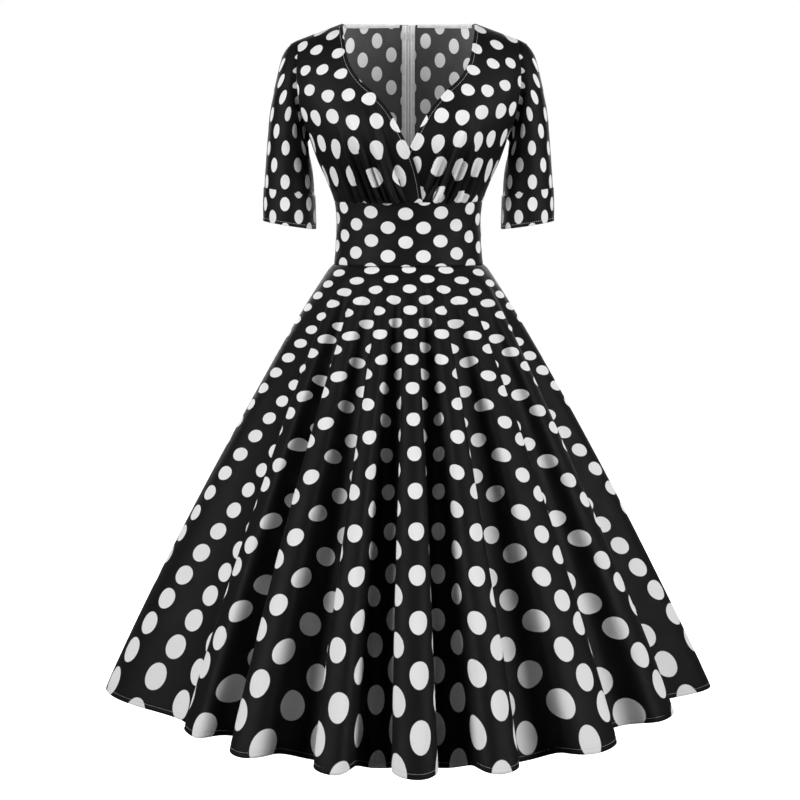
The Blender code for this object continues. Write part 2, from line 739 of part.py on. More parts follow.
def make_tapes():
    heights = np.linspace(ZIP_TOP, BAND_BOTTOM, 15)
    for side, name in ((1.0, "zip_tape_left"), (-1.0, "zip_tape_right")):
        offsets = np.linspace(TAPE_EDGES[0], TAPE_EDGES[1], 3) * side
        offsets = np.sort(offsets)
        strip = back_strip(offsets, heights, ZIP_SKIRT_ROWS)
        strip = moved_in(strip, CLOTH + TAPE_CLEARANCE)
        cloth_piece(name, strip, tape_grey(), wall=TAPE_WALL, flip=True)
    heights = np.linspace(COIL_TOP, BAND_BOTTOM, 14)
    offsets = np.linspace(-COIL_HALF_WIDTH, COIL_HALF_WIDTH, 3)
    strip = back_strip(offsets, heights, ZIP_SKIRT_ROWS[:-1])
    strip = moved_in(strip, CLOTH + TAPE_CLEARANCE)
    cloth_piece("zip_coil", strip, tape_grey(), wall=COIL_WALL, flip=True)
    strip = neck_tape_points()
    cloth_piece("back_neck_tape_left", strip, tape_grey(), wall=TAPE_WALL, flip=True)
    cloth_piece("back_neck_tape_right", mirrored(strip), tape_grey(), wall=TAPE_WALL)


def neck_tape_points():
    """Outer points of the tape inside the back neck, for the side at +X.

    It follows the faces of the back between its first two rows.
    """
    back = back_points()[0][:2, : BACK_NECK_STEPS + 1]
    run = (NECK_TAPE_START - back[0, 0, 0]) / (back[0, 1, 0] - back[0, 0, 0])
    first = back[:, :1] + (back[:, 1:2] - back[:, :1]) * run
    back = np.concatenate([first, back[:, 1:-1]], axis=1)
    height = back[0, :, 2] - back[1, :, 2]
    bottom = np.minimum(1.0, (NECK_TAPE_DOWN + NECK_TAPE_HEIGHT) / height)
    down = np.stack([NECK_TAPE_DOWN / height, bottom])[..., None]
    strip = back[0] + (back[1] - back[0]) * down
    return moved_in(strip, CLOTH + NECK_TAPE_CLEARANCE)


def tape_grey():
    return material("zip_tape", TAPE_GREY, 0.8)


def metal():
    return material("zip_metal", METAL_GREY, 0.35, 1.0)


def block(name, size, centre, bevel=0.0):
    """Mesh of a box, with its edges bevelled when asked."""
    mesh = bpy.data.meshes.new(name)
    shape = bmesh.new()
    bmesh.ops.create_cube(shape, size=1.0)
    bmesh.ops.scale(shape, vec=size, verts=shape.verts)
    if bevel:
        bmesh.ops.bevel(
            shape, geom=shape.edges, offset=bevel, segments=2, profile=0.5, affect="EDGES"
        )
    bmesh.ops.translate(shape, vec=centre, verts=shape.verts)
    shape.to_mesh(mesh)
    shape.free()
    return mesh


def rod(name, radius, length, centre, segments=20):
    """Mesh of a round bar along X."""
    mesh = bpy.data.meshes.new(name)
    shape = bmesh.new()
    turned = Matrix.Translation(centre) @ Matrix.Rotation(math.pi / 2, 4, "Y")
    bmesh.ops.create_cone(
        shape,
        cap_ends=True,
        segments=segments,
        radius1=radius,
        radius2=radius,
        depth=length,
        matrix=turned,
    )
    shape.to_mesh(mesh)
    shape.free()
    return mesh


def helper(mesh):
    """An object that only shapes another one."""
    made = bpy.data.objects.new(mesh.name, mesh)
    bpy.data.collections["cutters"].objects.link(made)
    made.hide_render = True
    made.display_type = "WIRE"
    return made


def combine(target, other, operation):
    step = target.modifiers.new(other.name, "BOOLEAN")
    step.operation = operation
    step.solver = "EXACT"
    step.object = other


def zip_frame():
    """Place on the cloth's outer face at the slider, turned so -Z runs down the cloth."""
    near = back_strip([0.0], [SLIDER_Z + 0.002, SLIDER_Z - 0.002])[:, 0]
    slope = near[1] - near[0]
    tilt = math.atan2(slope[1], -slope[2])
    middle = near.mean(axis=0)
    return Matrix.Translation(middle) @ Matrix.Rotation(tilt, 4, "X")


def make_slider():
    """Slider with its body inside the tapes and its eye outside the cloth, and the pull."""
    place = zip_frame()
    inside = -(CLOTH + TAPE_CLEARANCE + TAPE_WALL + 0.0010)
    width, depth, height = SLIDER_SIZE
    body = block("zip_slider", SLIDER_SIZE, (0, inside - depth / 2, 0), bevel=0.0005)
    slider = add_object("zip_slider", body, metal())
    reach = EYE_OUT - (EYE_INNER + EYE_OUTER) / 2
    bridge_size = (BRIDGE_WIDTH, reach - inside + depth / 2, 0.0030)
    bridge_y = (reach + inside - depth / 2) / 2
    combine(slider, helper(block("slider_bridge", bridge_size, (0, bridge_y, 0))), "UNION")
    eye = helper(rod("slider_eye", EYE_OUTER, BRIDGE_WIDTH, (0, EYE_OUT, 0)))
    combine(slider, eye, "UNION")
    bore = helper(rod("slider_bore", EYE_INNER, 0.01, (0, EYE_OUT, 0)))
    combine(slider, bore, "DIFFERENCE")
    window_width, window_height = PULL_WINDOW
    plate = pull_plate()
    pull = add_object("zip_pull", plate, metal())
    window = block(
        "pull_window",
        (window_width, 0.01, window_height),
        (0, EYE_OUT, -BAR_RADIUS * 0.5 - window_height / 2),
    )
    combine(pull, helper(window), "DIFFERENCE")
    bar = helper(rod("pull_bar", BAR_RADIUS, window_width + 0.0014, (0, EYE_OUT, 0)))
    combine(pull, bar, "UNION")
    for made in (slider, pull, *bpy.data.collections["cutters"].objects):
        made.matrix_world = place


def pull_plate():
    """Mesh of the pull: a plate with round corners that widens downwards."""
    mesh = bpy.data.meshes.new("zip_pull")
    shape = bmesh.new()
    bmesh.ops.create_cube(shape, size=1.0)
    bmesh.ops.scale(shape, vec=(PULL_WIDTH, PULL_WALL, PULL_LENGTH), verts=shape.verts)
    bmesh.ops.translate(
        shape, vec=(0, EYE_OUT, BAR_RADIUS - PULL_LENGTH / 2), verts=shape.verts
    )
    for corner in shape.verts:
        if corner.co.z > -0.001:
            corner.co.x *= 0.62
    upright = [
        edge for edge in shape.edges if abs(edge.verts[0].co.y - edge.verts[1].co.y) > 0.0005
    ]
    bmesh.ops.bevel(
        shape, geom=upright, offset=0.0014, segments=3, profile=0.5, affect="EDGES"
    )
    shape.to_mesh(mesh)
    shape.free()
    return mesh


def make_stop():
    """The stop at the lower end of the zip, over the last of the coil."""
    down = ZIP_SKIRT_ROWS[-1]
    rows = (down - 0.02, down - 0.01, down)
    inner = moved_in(back_strip([-0.002, 0.0, 0.002], [], rows), CLOTH + TAPE_CLEARANCE)
    slope = inner[2, 1] - inner[0, 1]
    middle = inner[1, 1] - np.array([0.0, TAPE_WALL + 0.0012, 0.0])
    tilt = math.atan2(slope[1], -slope[2])
    stop = add_object("zip_bottom_stop", block("zip_bottom_stop", STOP_SIZE, (0, 0, 0)), metal())
    stop.matrix_world = Matrix.Translation(middle) @ Matrix.Rotation(tilt, 4, "X")


# ---------------------------------------------------------------- build
def main():
    for old in list(bpy.data.objects):
        bpy.data.objects.remove(old)
    for name in ("dress", "cutters"):
        bpy.context.scene.collection.children.link(bpy.data.collections.new(name))
    bpy.data.collections["cutters"].hide_render = True
    make_bodice()
    make_band()
    make_skirt()
    make_sleeves()
    make_tapes()
    make_slider()
    make_stop()


main()
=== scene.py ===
"""Dressed scene of an a-line dress: printed cotton shells, stitching, zip, studio and camera."""

import sys

import logging
import math
from dataclasses import dataclass
from enum import Enum

import bpy
import numpy as np
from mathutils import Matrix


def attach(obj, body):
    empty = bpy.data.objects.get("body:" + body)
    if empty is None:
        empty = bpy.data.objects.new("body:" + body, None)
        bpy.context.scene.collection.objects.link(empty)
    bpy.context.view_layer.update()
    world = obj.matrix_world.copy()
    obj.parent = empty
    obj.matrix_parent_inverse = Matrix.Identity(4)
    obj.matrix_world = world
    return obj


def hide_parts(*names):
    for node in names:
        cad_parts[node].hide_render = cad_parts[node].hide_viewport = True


LOG = logging.getLogger("dress")
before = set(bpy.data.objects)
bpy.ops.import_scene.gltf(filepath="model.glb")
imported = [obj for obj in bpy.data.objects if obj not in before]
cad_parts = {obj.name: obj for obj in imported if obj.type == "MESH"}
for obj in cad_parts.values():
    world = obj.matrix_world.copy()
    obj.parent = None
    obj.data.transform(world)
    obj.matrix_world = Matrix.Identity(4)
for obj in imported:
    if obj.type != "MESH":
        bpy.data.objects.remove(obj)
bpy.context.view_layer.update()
Array = np.ndarray
Material = bpy.types.Material
Socket = bpy.types.NodeSocket
BODY = "dress"
MM = 0.001
FAR = 9.0
CAD_WALL = 0.0012


class Side(Enum):
    """Front or back of the figure, by the sign of Y."""

    FRONT = -1.0
    BACK = 1.0


class Held(Enum):
    """How a sheet of cloth is held."""

    HUNG = "hung"
    GATHERED = "gathered"
    STRETCHED = "stretched"
    FOLDED = "folded"


# ---- curves and grids
def smooth_step(value: Array) -> Array:
    """Rise from 0 to 1 as 3t^2 - 2t^3, held flat outside that range."""
    value = np.clip(value, 0.0, 1.0)
    return value * value * (3 - 2 * value)


def bell(value: Array, width: float) -> Array:
    """Bell curve: 1 at 0, and 1/e a width away from it."""
    return np.exp(-((value / width) ** 2))


def unit(vectors: Array) -> Array:
    """Vectors along the last axis, each scaled to a length of 1."""
    return vectors / np.maximum(np.linalg.norm(vectors, axis=-1, keepdims=True), 1e-12)


def distance(points: Array, others: Array) -> Array:
    """Distances between points, which lie along the last axis."""
    return np.linalg.norm(points - others, axis=-1)


def grid_of(*columns: Array) -> Array:
    """Join numbers or grids of numbers as the columns of a new last axis."""
    return np.stack(np.broadcast_arrays(*columns), axis=-1)


def smooth_table(rows: tuple, at: Array) -> Array:
    """Read a table at any key, on cubic Hermite curves through its rows.

    Args:
        rows: Rows of numbers, each with its key first.
        at: Keys to read the table at.

    Returns:
        All columns at each key, along a new last axis.
    """
    table = np.array(sorted(rows, key=lambda row: row[0]), float)
    keys = table[:, 0]
    at = np.clip(np.asarray(at, float), keys[0], keys[-1])
    slopes = np.gradient(table, keys, axis=0)
    low = np.clip(np.searchsorted(keys, at, side="right") - 1, 0, len(keys) - 2)
    span = (keys[low + 1] - keys[low])[..., None]
    s = (at - keys[low])[..., None] / span
    rise = 3 * s**2 - 2 * s**3
    slant = slopes[low] * (s**3 - 2 * s**2 + s) + slopes[low + 1] * (s**3 - s**2)
    return table[low] * (1 - rise) + table[low + 1] * rise + slant * span


def length_along(points: Array) -> Array:
    """Running length of a line of points, as the sum of its steps."""
    return np.concatenate([[0.0], np.cumsum(distance(points[1:], points[:-1]))])


def even_path(points: Array, normals: Array, step: float) -> tuple[Array, Array]:
    """Resample a line of points, and the normals along it, at an even step.

    Args:
        points: Points of the line.
        normals: Unit normals at those points.
        step: Wanted distance between points.

    Returns:
        Points a step apart, from the first to the last, and their normals.
    """
    run = length_along(points)
    wanted = np.linspace(0.0, run[-1], max(2, int(round(run[-1] / step)) + 1))
    even = grid_of(*(np.interp(wanted, run, column) for column in np.hstack([points, normals]).T))
    return even[:, :3], even[:, 3:]


def fine_ends(count: int, length: float, end: bool = True) -> Array:
    """Spread shares from 0 to 1, closer together within 3 mm of a sewn edge.

    Args:
        count: Number of evenly spread shares.
        length: Length that 0 to 1 stands for, in metres.
        end: Whether the last edge is sewn, as the first one is.

    Returns:
        Rising shares.
    """
    closest, near = 0.12 * MM / length, np.array([0.5, 1.1, 1.8, 2.7]) * MM / length
    shares = [np.linspace(0.0, 1.0, count), near] + ([1 - near] if end else [])
    joined = np.unique(np.round(np.concatenate(shares), 7))
    return joined[np.diff(joined, prepend=-1.0) > closest]


def averaged(values: Array, reach: int) -> Array:
    """Even out a grid along its rows, with a bell of weights over the nearest columns.

    Args:
        values: Grid of numbers.
        reach: Columns on each side.

    Returns:
        The weighted sums.
    """
    weights = np.hanning(2 * reach + 3)[1:-1]
    wide = np.pad(values, ((0, 0), (reach, reach)), mode="edge")
    count = values.shape[1]
    return sum(w * wide[:, k : k + count] for k, w in enumerate(weights / weights.sum()))


def grid_normals(points: Array, ring: bool = False) -> Array:
    """Unit normals of a grid, square to its slopes down the rows and along the columns.

    Args:
        points: Grid of points, rows then columns.
        ring: Whether the last column joins the first.

    Returns:
        One normal for each point.
    """
    wide = np.concatenate([points[:, -1:], points, points[:, :1]], axis=1) if ring else points
    across = np.gradient(wide, axis=1)[:, 1:-1] if ring else np.gradient(wide, axis=1)
    return unit(np.cross(np.gradient(points, axis=0), across))


def mirrored(points: Array) -> Array:
    """Points or normals turned to the other side of the body."""
    return points * np.array([-1.0, 1.0, 1.0])


# ---- print
@dataclass
class Print:
    """Where the dots fall on a grid of cloth.

    The dots stand on a staggered lattice: a dot is centred wherever both lattice numbers
    of place are whole, or both are half way between whole numbers. shape holds the three
    different terms of the square form that is 1 on a dot's edge, and grain the metres
    across and along the cloth.
    """

    place: Array
    shape: Array
    grain: Array


def dot_shape(place: Array, steps: Array, half: Array) -> Array:
    """Work out the ellipse of the dots at each point.

    The lattice numbers' slopes are turned round to give metres for each lattice unit,
    across and along the cloth. Divided by the dot's half sizes they form the matrix M,
    and a dot covers the places where the length of M times the offset is under 1.

    Args:
        place: Lattice numbers of each grid point.
        steps: Metres across and along for a step down the rows and along the columns.
        half: Half width and half height of a dot.

    Returns:
        The three different terms of M transposed times M.
    """
    jacobian = grid_of(np.gradient(place, axis=0), np.gradient(place, axis=1))
    matrix = (steps @ np.linalg.inv(jacobian)) / half[..., None]
    square = np.swapaxes(matrix, -1, -2) @ matrix
    return grid_of(square[..., 0, 0], square[..., 0, 1], square[..., 1, 1])


def flat_shape(place: Array, flat: Array, half: Array) -> Array:
    """Ellipse of the dots on a grid whose metres across and along the cloth are known."""
    return dot_shape(place, grid_of(np.gradient(flat, axis=0), np.gradient(flat, axis=1)), half)


@dataclass(frozen=True)
class Dots:
    """An even lattice of dots: sizes and distances in metres, each across and then down."""

    half: tuple[float, float]
    pitch: tuple[float, float]
    start: tuple[float, float]
    slope: float = 0.0

    def on(self, across: Array, down: Array, sag: Array | float = 0.0) -> Print:
        """Print of a piece whose places on the flat cloth are known.

        Args:
            across: Metres across the piece.
            down: Metres down the piece.
            sag: Metres that a row of dots hangs lower.

        Returns:
            The print.
        """
        aside, flat = across - self.start[0], grid_of(across, down)
        fall = down + sag - self.start[1] - self.slope * aside
        place = grid_of(aside / self.pitch[0], fall / self.pitch[1])
        return Print(place, flat_shape(place, flat, np.broadcast_to(self.half, flat.shape)), flat)


# ---- meshes
def mesh_object(
    name: str, points: Array, quads: Array, materials: tuple, slots: Array | None = None
) -> bpy.types.Object:
    """Put points and quads into a new object at the origin.

    Args:
        name: Name of the piece.
        points: One row for each vertex.
        quads: Four vertex numbers for each face.
        materials: Material of each slot.
        slots: Slot of each face, where it isn't the first.

    Returns:
        The object, smooth shaded.
    """
    mesh = bpy.data.meshes.new(name)
    mesh.vertices.add(len(points))
    mesh.vertices.foreach_set("co", np.ascontiguousarray(points, np.float32).ravel())
    mesh.loops.add(quads.size)
    mesh.loops.foreach_set("vertex_index", np.ascontiguousarray(quads, np.int32).ravel())
    mesh.polygons.add(len(quads))
    mesh.polygons.foreach_set("loop_start", np.arange(0, quads.size, 4, dtype=np.int32))
    if slots is not None:
        mesh.polygons.foreach_set("material_index", np.ascontiguousarray(slots, np.int32))
    mesh.update(calc_edges=True)
    mesh.validate()
    mesh.shade_smooth()
    for material in materials:
        mesh.materials.append(material)
    made = bpy.data.objects.new(name, mesh)
    bpy.context.scene.collection.objects.link(made)
    return made


def rods(
    name: str, centres: Array, axes: tuple, stations: Array, rings: Array, material: Material
) -> bpy.types.Object:
    """Make a short rod at each centre: rings of corners, joined by quads and closed by caps.

    A corner stands at its centre, plus its ring's station along the first axis, plus its
    two ring places along the others. The three axes are right-handed.

    Args:
        name: Name of the piece.
        centres: Middle of each rod.
        axes: Directions of each rod: along it, and two across it.
        stations: Where the rings stand along a rod.
        rings: Corners of each ring, as two places across the rod.
        material: Material of the rods.

    Returns:
        The object.
    """
    along, aside, up = (axis[:, None, None] for axis in axes)
    points = centres[:, None, None] + along * stations[:, None, None]
    points = points + aside * rings[..., :1] + up * rings[..., 1:]
    count, sides = rings.shape[:2]
    number = np.arange(count * sides).reshape(count, sides)
    after = np.roll(number, -1, axis=1)
    quads = grid_of(number[:-1], after[:-1], after[1:], number[1:]).reshape(-1, 4)
    half = np.arange(0, sides - 2, 2)
    cap = grid_of(0 * half, half + 1, half + 2, half + 3) % sides
    quads = np.concatenate([quads, cap[:, ::-1], number[-1][cap]])
    every = quads[None] + number.size * np.arange(len(centres))[:, None, None]
    made = mesh_object(name, points.reshape(-1, 3), every.reshape(-1, 4), (material,))
    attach(made, BODY)
    LOG.info("%s: %d rods", name, len(centres))
    return made


def set_attribute(made: bpy.types.Object, name: str, values: Array) -> None:
    """Store a vector for each corner of the faces.

    Args:
        made: Object that gets the attribute.
        name: Name that the materials read.
        values: One row for each corner: the vector, or its first two numbers before a 0.
    """
    vectors = np.zeros((len(values), 3), np.float32)
    vectors[:, : values.shape[1]] = values
    layer = made.data.attributes.new(name, "FLOAT_VECTOR", "CORNER")
    layer.data.foreach_set("vector", vectors.ravel())


@dataclass
class Patch:
    """Outer face of a piece: a grid of points, their normals and the print on them."""

    points: Array
    normals: Array
    printed: Print

    def mirrored(self) -> "Patch":
        """The patch turned to the other side of the body."""
        return Patch(mirrored(self.points), mirrored(self.normals), self.printed)


@dataclass
class Shell:
    """A thin wall of cloth whose outer face is a patch.

    The patch's rows run down and its columns anticlockwise seen from above. flip is for a
    patch whose columns run the other way. The edge of the wall is a half round.
    """

    name: str
    patch: Patch
    wall: float | Array
    ring: bool = False
    flip: bool = False
    low: tuple[float, float, float] = (-FAR, -FAR, -FAR)
    high: tuple[float, float, float] = (FAR, FAR, FAR)
    edge_bulge: float = 0.35

    def outer_quads(self, number: Array) -> Array:
        """Quads between each grid point and its neighbours below and to the right."""
        wide = np.concatenate([number, number[:, :1]], axis=1) if self.ring else number
        return grid_of(wide[:-1, :-1], wide[1:, :-1], wide[1:, 1:], wide[:-1, 1:]).reshape(-1, 4)

    def borders(self, number: Array) -> list[tuple[Array, Array]]:
        """List the closed loops of edge points, each with its neighbours inside.

        Args:
            number: Vertex number of each grid point.

        Returns:
            Pairs of vertex numbers, edge and inside.
        """
        if self.ring:
            return [(number[0], number[1]), (number[-1, ::-1], number[-2, ::-1])]
        loop = [number[0], number[1:-1, -1], number[-1, ::-1], number[1:-1, 0][::-1]]
        inside = [number[1], number[1:-1, -2], number[-2, ::-1], number[1:-1, 1][::-1]]
        return [(np.concatenate(loop), np.concatenate(inside))]

    def build(self, materials: tuple[Material, Material]) -> bpy.types.Object:
        """Make the wall: outer face, inner face a wall's thickness inside, and round edges.

        Args:
            materials: Finish outside and on the edges, and finish inside.

        Returns:
            The object.
        """
        points = self.patch.points
        number = np.arange(points[..., 0].size).reshape(points.shape[:2])
        wall = np.broadcast_to(self.wall, number.shape)[..., None]
        outer = np.clip(points, self.low, self.high).reshape(-1, 3)
        inner = np.clip(points - wall * self.patch.normals, self.low, self.high).reshape(-1, 3)
        outside = self.outer_quads(number)
        parts, quads = [outer, inner], [outside, outside[:, [0, 3, 2, 1]] + number.size]
        source = [number.ravel()] * 2
        first = 2 * number.size
        for loop, within in self.borders(number):
            away = unit(outer[loop] - outer[within])
            bulge = self.edge_bulge * distance(outer[loop], inner[loop])[:, None]
            middle = (outer[loop] + inner[loop]) / 2 + away * bulge
            parts.append(np.clip(middle, self.low, self.high))
            source.append(loop)
            ridge = first + np.arange(len(loop))
            after, ridge_after = np.roll(loop, -1), np.roll(ridge, -1)
            quads.append(grid_of(loop, after, ridge_after, ridge))
            quads.append(grid_of(ridge, ridge_after, after + number.size, loop + number.size))
            first += len(loop)
        faces = np.concatenate(quads)[:, :: -1 if self.flip else 1]
        slots = np.zeros(len(faces), int)
        slots[len(outside) : 2 * len(outside)] = 1
        made = mesh_object(self.name, np.concatenate(parts), faces, materials, slots)
        self.dress(made, np.concatenate(source))
        return made

    def dress(self, made: bpy.types.Object, source: Array) -> None:
        """Store the print on the corners of the faces.

        The print of a ring has one column more than its points. The corners of the faces
        that close the ring read that last column.

        Args:
            made: The shell.
            source: The grid point that each vertex came from.
        """
        columns = self.patch.points.shape[1]
        vertex = np.empty(len(made.data.loops), np.int32)
        made.data.loops.foreach_get("vertex_index", vertex)
        row, column = np.divmod(source[vertex], columns)
        if self.ring:
            face = column.reshape(-1, 4)
            closing = (face.max(axis=1) == columns - 1) & (face.min(axis=1) == 0)
            column = np.where(closing[:, None] & (face == 0), columns, face).ravel()
        set_attribute(made, "dot_place", self.patch.printed.place[row, column])
        set_attribute(made, "dot_shape", self.patch.printed.shape[row, column])
        set_attribute(made, "thread_place", self.patch.printed.grain[row, column])


@dataclass(frozen=True)
class Cut:
    """Flat width and length of a piece, how it is held, and its area if no rectangle."""

    flat: tuple[float, float]
    held: Held
    area: float | None = None


def sew(
    shell: Shell, node: str, cut: Cut, materials: tuple[Material, Material]
) -> None:
    """Build a piece of cloth, let it stand for its CAD node and state its cut.

    Args:
        shell: The piece.
        node: CAD node that it replaces.
        cut: Its flat cut.
        materials: Finish outside and finish inside.
    """
    made = shell.build(materials)
    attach(made, BODY)
    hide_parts(node)
    faces = made.data.polygons
    cloth, whole = sum(face.area for face in faces) / 2, cut.area or cut.flat[0] * cut.flat[1]
    LOG.info("%s: %d faces, cloth %.4f of %.4f square metres", shell.name, len(faces), cloth, whole)


# ---- finishes
class Bench:
    """A new node material and short calls that wire it."""

    def __init__(self, name: str) -> None:
        """Make an empty material with a Principled shader.

        Args:
            name: Name of the material.
        """
        self.material = bpy.data.materials.new(name)
        self.material.use_nodes = True
        self.tree = self.material.node_tree
        self.shader = self.tree.nodes["Principled BSDF"]

    def node(self, kind: str, inputs: dict | None = None, **settings: object) -> bpy.types.Node:
        """Add a node.

        Args:
            kind: Blender's name of the node.
            inputs: What feeds each of its sockets: another socket or a value.
            settings: Properties to set on it.

        Returns:
            The node.
        """
        made = self.tree.nodes.new(kind)
        for name, value in settings.items():
            setattr(made, name, value)
        for name, source in (inputs or {}).items():
            self.wire(source, made.inputs[name])
        return made

    def wire(self, source: object, target: Socket) -> None:
        """Feed a socket.

        Args:
            source: Another socket, or a value.
            target: The socket.
        """
        if isinstance(source, Socket):
            self.tree.links.new(source, target)
        else:
            target.default_value = source

    def maths(self, operation: str, first: object, *others: object) -> Socket:
        """Join sockets or numbers by one operation, from left to right.

        Args:
            operation: Blender's name of the operation.
            first: First socket or number.
            others: The rest, none for an operation on one number.

        Returns:
            The outcome.
        """
        if not others:
            return self.node("ShaderNodeMath", {0: first}, operation=operation).outputs[0]
        for other in others:
            first = self.node("ShaderNodeMath", {0: first, 1: other}, operation=operation).outputs[0]
        return first

    def attribute(self, name: str) -> Socket:
        """Read a vector stored on the mesh."""
        return self.node("ShaderNodeAttribute", attribute_name=name).outputs["Vector"]

    def split(self, vector: Socket) -> list[Socket]:
        """Take a vector apart into its three numbers."""
        return list(self.node("ShaderNodeSeparateXYZ", {0: vector}).outputs)

    def noise(
        self, vector: Socket, scale: float, detail: float = 2.0, stretch: tuple | None = None
    ) -> Socket:
        """Noise from 0 to 1.

        Args:
            vector: Place.
            scale: Waves for each metre.
            detail: Number of finer layers.
            stretch: Scale along each axis, where they differ.

        Returns:
            The noise.
        """
        if stretch:
            vector = self.node("ShaderNodeMapping", {"Vector": vector, "Scale": stretch}).outputs[0]
        inputs = {"Vector": vector, "Scale": scale, "Detail": detail}
        return self.node("ShaderNodeTexNoise", inputs).outputs["Fac"]

    def waves(self, value: Socket, pitch: float) -> Socket:
        """A sine wave with a pitch in metres."""
        return self.maths("SINE", self.maths("MULTIPLY", value, 2 * math.pi / pitch))

    def ranged(self, value: Socket, span: tuple, smooth: bool = False) -> Socket:
        """Map a value from one span to another, held at its ends.

        Args:
            value: The value.
            span: Ends of the first span, then of the second.
            smooth: Whether the way between is a smooth step.

        Returns:
            The mapped value.
        """
        inputs = dict(zip(("Value", "From Min", "From Max", "To Min", "To Max"), (value, *span)))
        kind = "SMOOTHSTEP" if smooth else "LINEAR"
        return self.node("ShaderNodeMapRange", inputs, interpolation_type=kind).outputs[0]

    def blend(self, factor: Socket, first: tuple, second: tuple) -> Socket:
        """Mix two colours."""
        return self.node("ShaderNodeMix", {0: factor, 6: first, 7: second}, data_type="RGBA").outputs[2]

    def surface(self, **values: object) -> None:
        """Feed the shader's own sockets, with _ for a space in each name."""
        for name, value in values.items():
            self.wire(value, self.shader.inputs[name.replace("_", " ")])

    def bump(self, height: Socket, depth: float, strength: float) -> None:
        """Raise the surface by a height from 0 to 1 that stands for a depth in metres."""
        inputs = {"Height": height, "Distance": depth, "Strength": strength}
        self.surface(Normal=self.node("ShaderNodeBump", inputs).outputs[0])


def grey(value: float, warmth: float = 0.0) -> tuple[float, float, float, float]:
    """A grey, a little warmer or cooler when asked."""
    return (value * (1 + warmth), value, value * (1 - warmth), 1.0)


def toned(colour: tuple, share: float) -> tuple[float, ...]:
    """A colour made darker or paler, at most white."""
    return tuple(min(1.0, part * share) for part in colour[:3]) + (1.0,)


@dataclass(frozen=True)
class Cotton:
    """Plain-woven cotton with printed dots."""

    name: str
    ground: tuple = grey(0.0050, -0.02)
    dot: tuple = grey(0.82, 0.004)
    roughness: float = 0.60
    sheen: float = 0.012
    gloss: float = 0.13
    mottle: float = 0.10
    mottle_in_dots: float = 0.25
    weave_pitch: float = 0.00062
    weave_depth: float = 0.00016
    thread_run: float = 0.12

    def dots(self, bench: Bench, thread: Socket) -> Socket:
        """Mask of the dots: 1 inside the ellipse about the nearest lattice point.

        Args:
            bench: Material in the making.
            thread: Place on the cloth in metres.

        Returns:
            A factor from 0 on the ground to 1 in a dot.
        """
        place = bench.split(bench.attribute("dot_place"))[:2]
        first, cross, second = bench.split(bench.attribute("dot_shape"))
        found = []
        for shift in (0.0, 0.5):
            moved = [bench.maths("SUBTRACT", number, shift) for number in place]
            a, b = (bench.maths("SUBTRACT", number, bench.maths("ROUND", number)) for number in moved)
            terms = ((first, a, a), (second, b, b), (cross, a, b, 2.0))
            found.append(bench.maths("ADD", *(bench.maths("MULTIPLY", *term) for term in terms)))
        wobble = bench.ranged(bench.noise(thread, 900.0), (0.3, 0.7, -0.03, 0.03))
        edge = bench.maths("ADD", bench.maths("MINIMUM", *found), wobble)
        return bench.ranged(edge, (1.05, 0.95, 0.0, 1.0), smooth=True)

    def weave(self, bench: Bench, thread: Socket) -> Socket:
        """Height of the weave: two crossing waves, with thicker threads here and there.

        Args:
            bench: Material in the making.
            thread: Place on the cloth in metres.

        Returns:
            Height from 0 to about 1.
        """
        warp, weft = (bench.waves(metres, self.weave_pitch) for metres in bench.split(thread)[:2])
        check = bench.ranged(bench.maths("MULTIPLY", warp, weft), (-1.0, 1.0, 0.0, 0.5))
        slub = bench.noise(thread, 1500.0, stretch=(self.thread_run, 1.0, 1.0))
        rib = bench.noise(thread, 1500.0, stretch=(1.0, self.thread_run, 1.0))
        return bench.maths(
            "ADD", check, bench.maths("MULTIPLY", slub, 0.5), bench.maths("MULTIPLY", rib, 0.35)
        )

    def make(self) -> Material:
        """Build the material: printed dots, weave bump, mottled ground and soft sheen.

        Returns:
            The material.
        """
        bench = Bench(self.name)
        thread = bench.attribute("thread_place")
        mask = self.dots(bench, thread)
        cloud = bench.noise(thread, 35.0, 3.0)
        slub = bench.noise(thread, 1100.0, stretch=(0.08, 1.0, 1.0))
        mix = bench.maths("MULTIPLY", bench.maths("ADD", cloud, slub), 0.5)
        shade = bench.ranged(mix, (0.25, 0.75, -self.mottle, self.mottle))
        kept = bench.ranged(mask, (0.0, 1.0, 1.0, self.mottle_in_dots))
        amount = bench.maths("ADD", bench.maths("MULTIPLY", shade, kept), 1.0)
        inputs = {0: bench.blend(mask, self.ground, self.dot), "Scale": amount}
        bench.surface(
            Base_Color=bench.node("ShaderNodeVectorMath", inputs, operation="SCALE").outputs[0],
            Roughness=bench.ranged(cloud, (0.3, 0.7, self.roughness - 0.05, self.roughness + 0.05)),
            Sheen_Weight=self.sheen,
            Sheen_Roughness=0.45,
            Specular_IOR_Level=self.gloss,
        )
        bench.bump(self.weave(bench, thread), self.weave_depth, 0.55)
        return bench.material


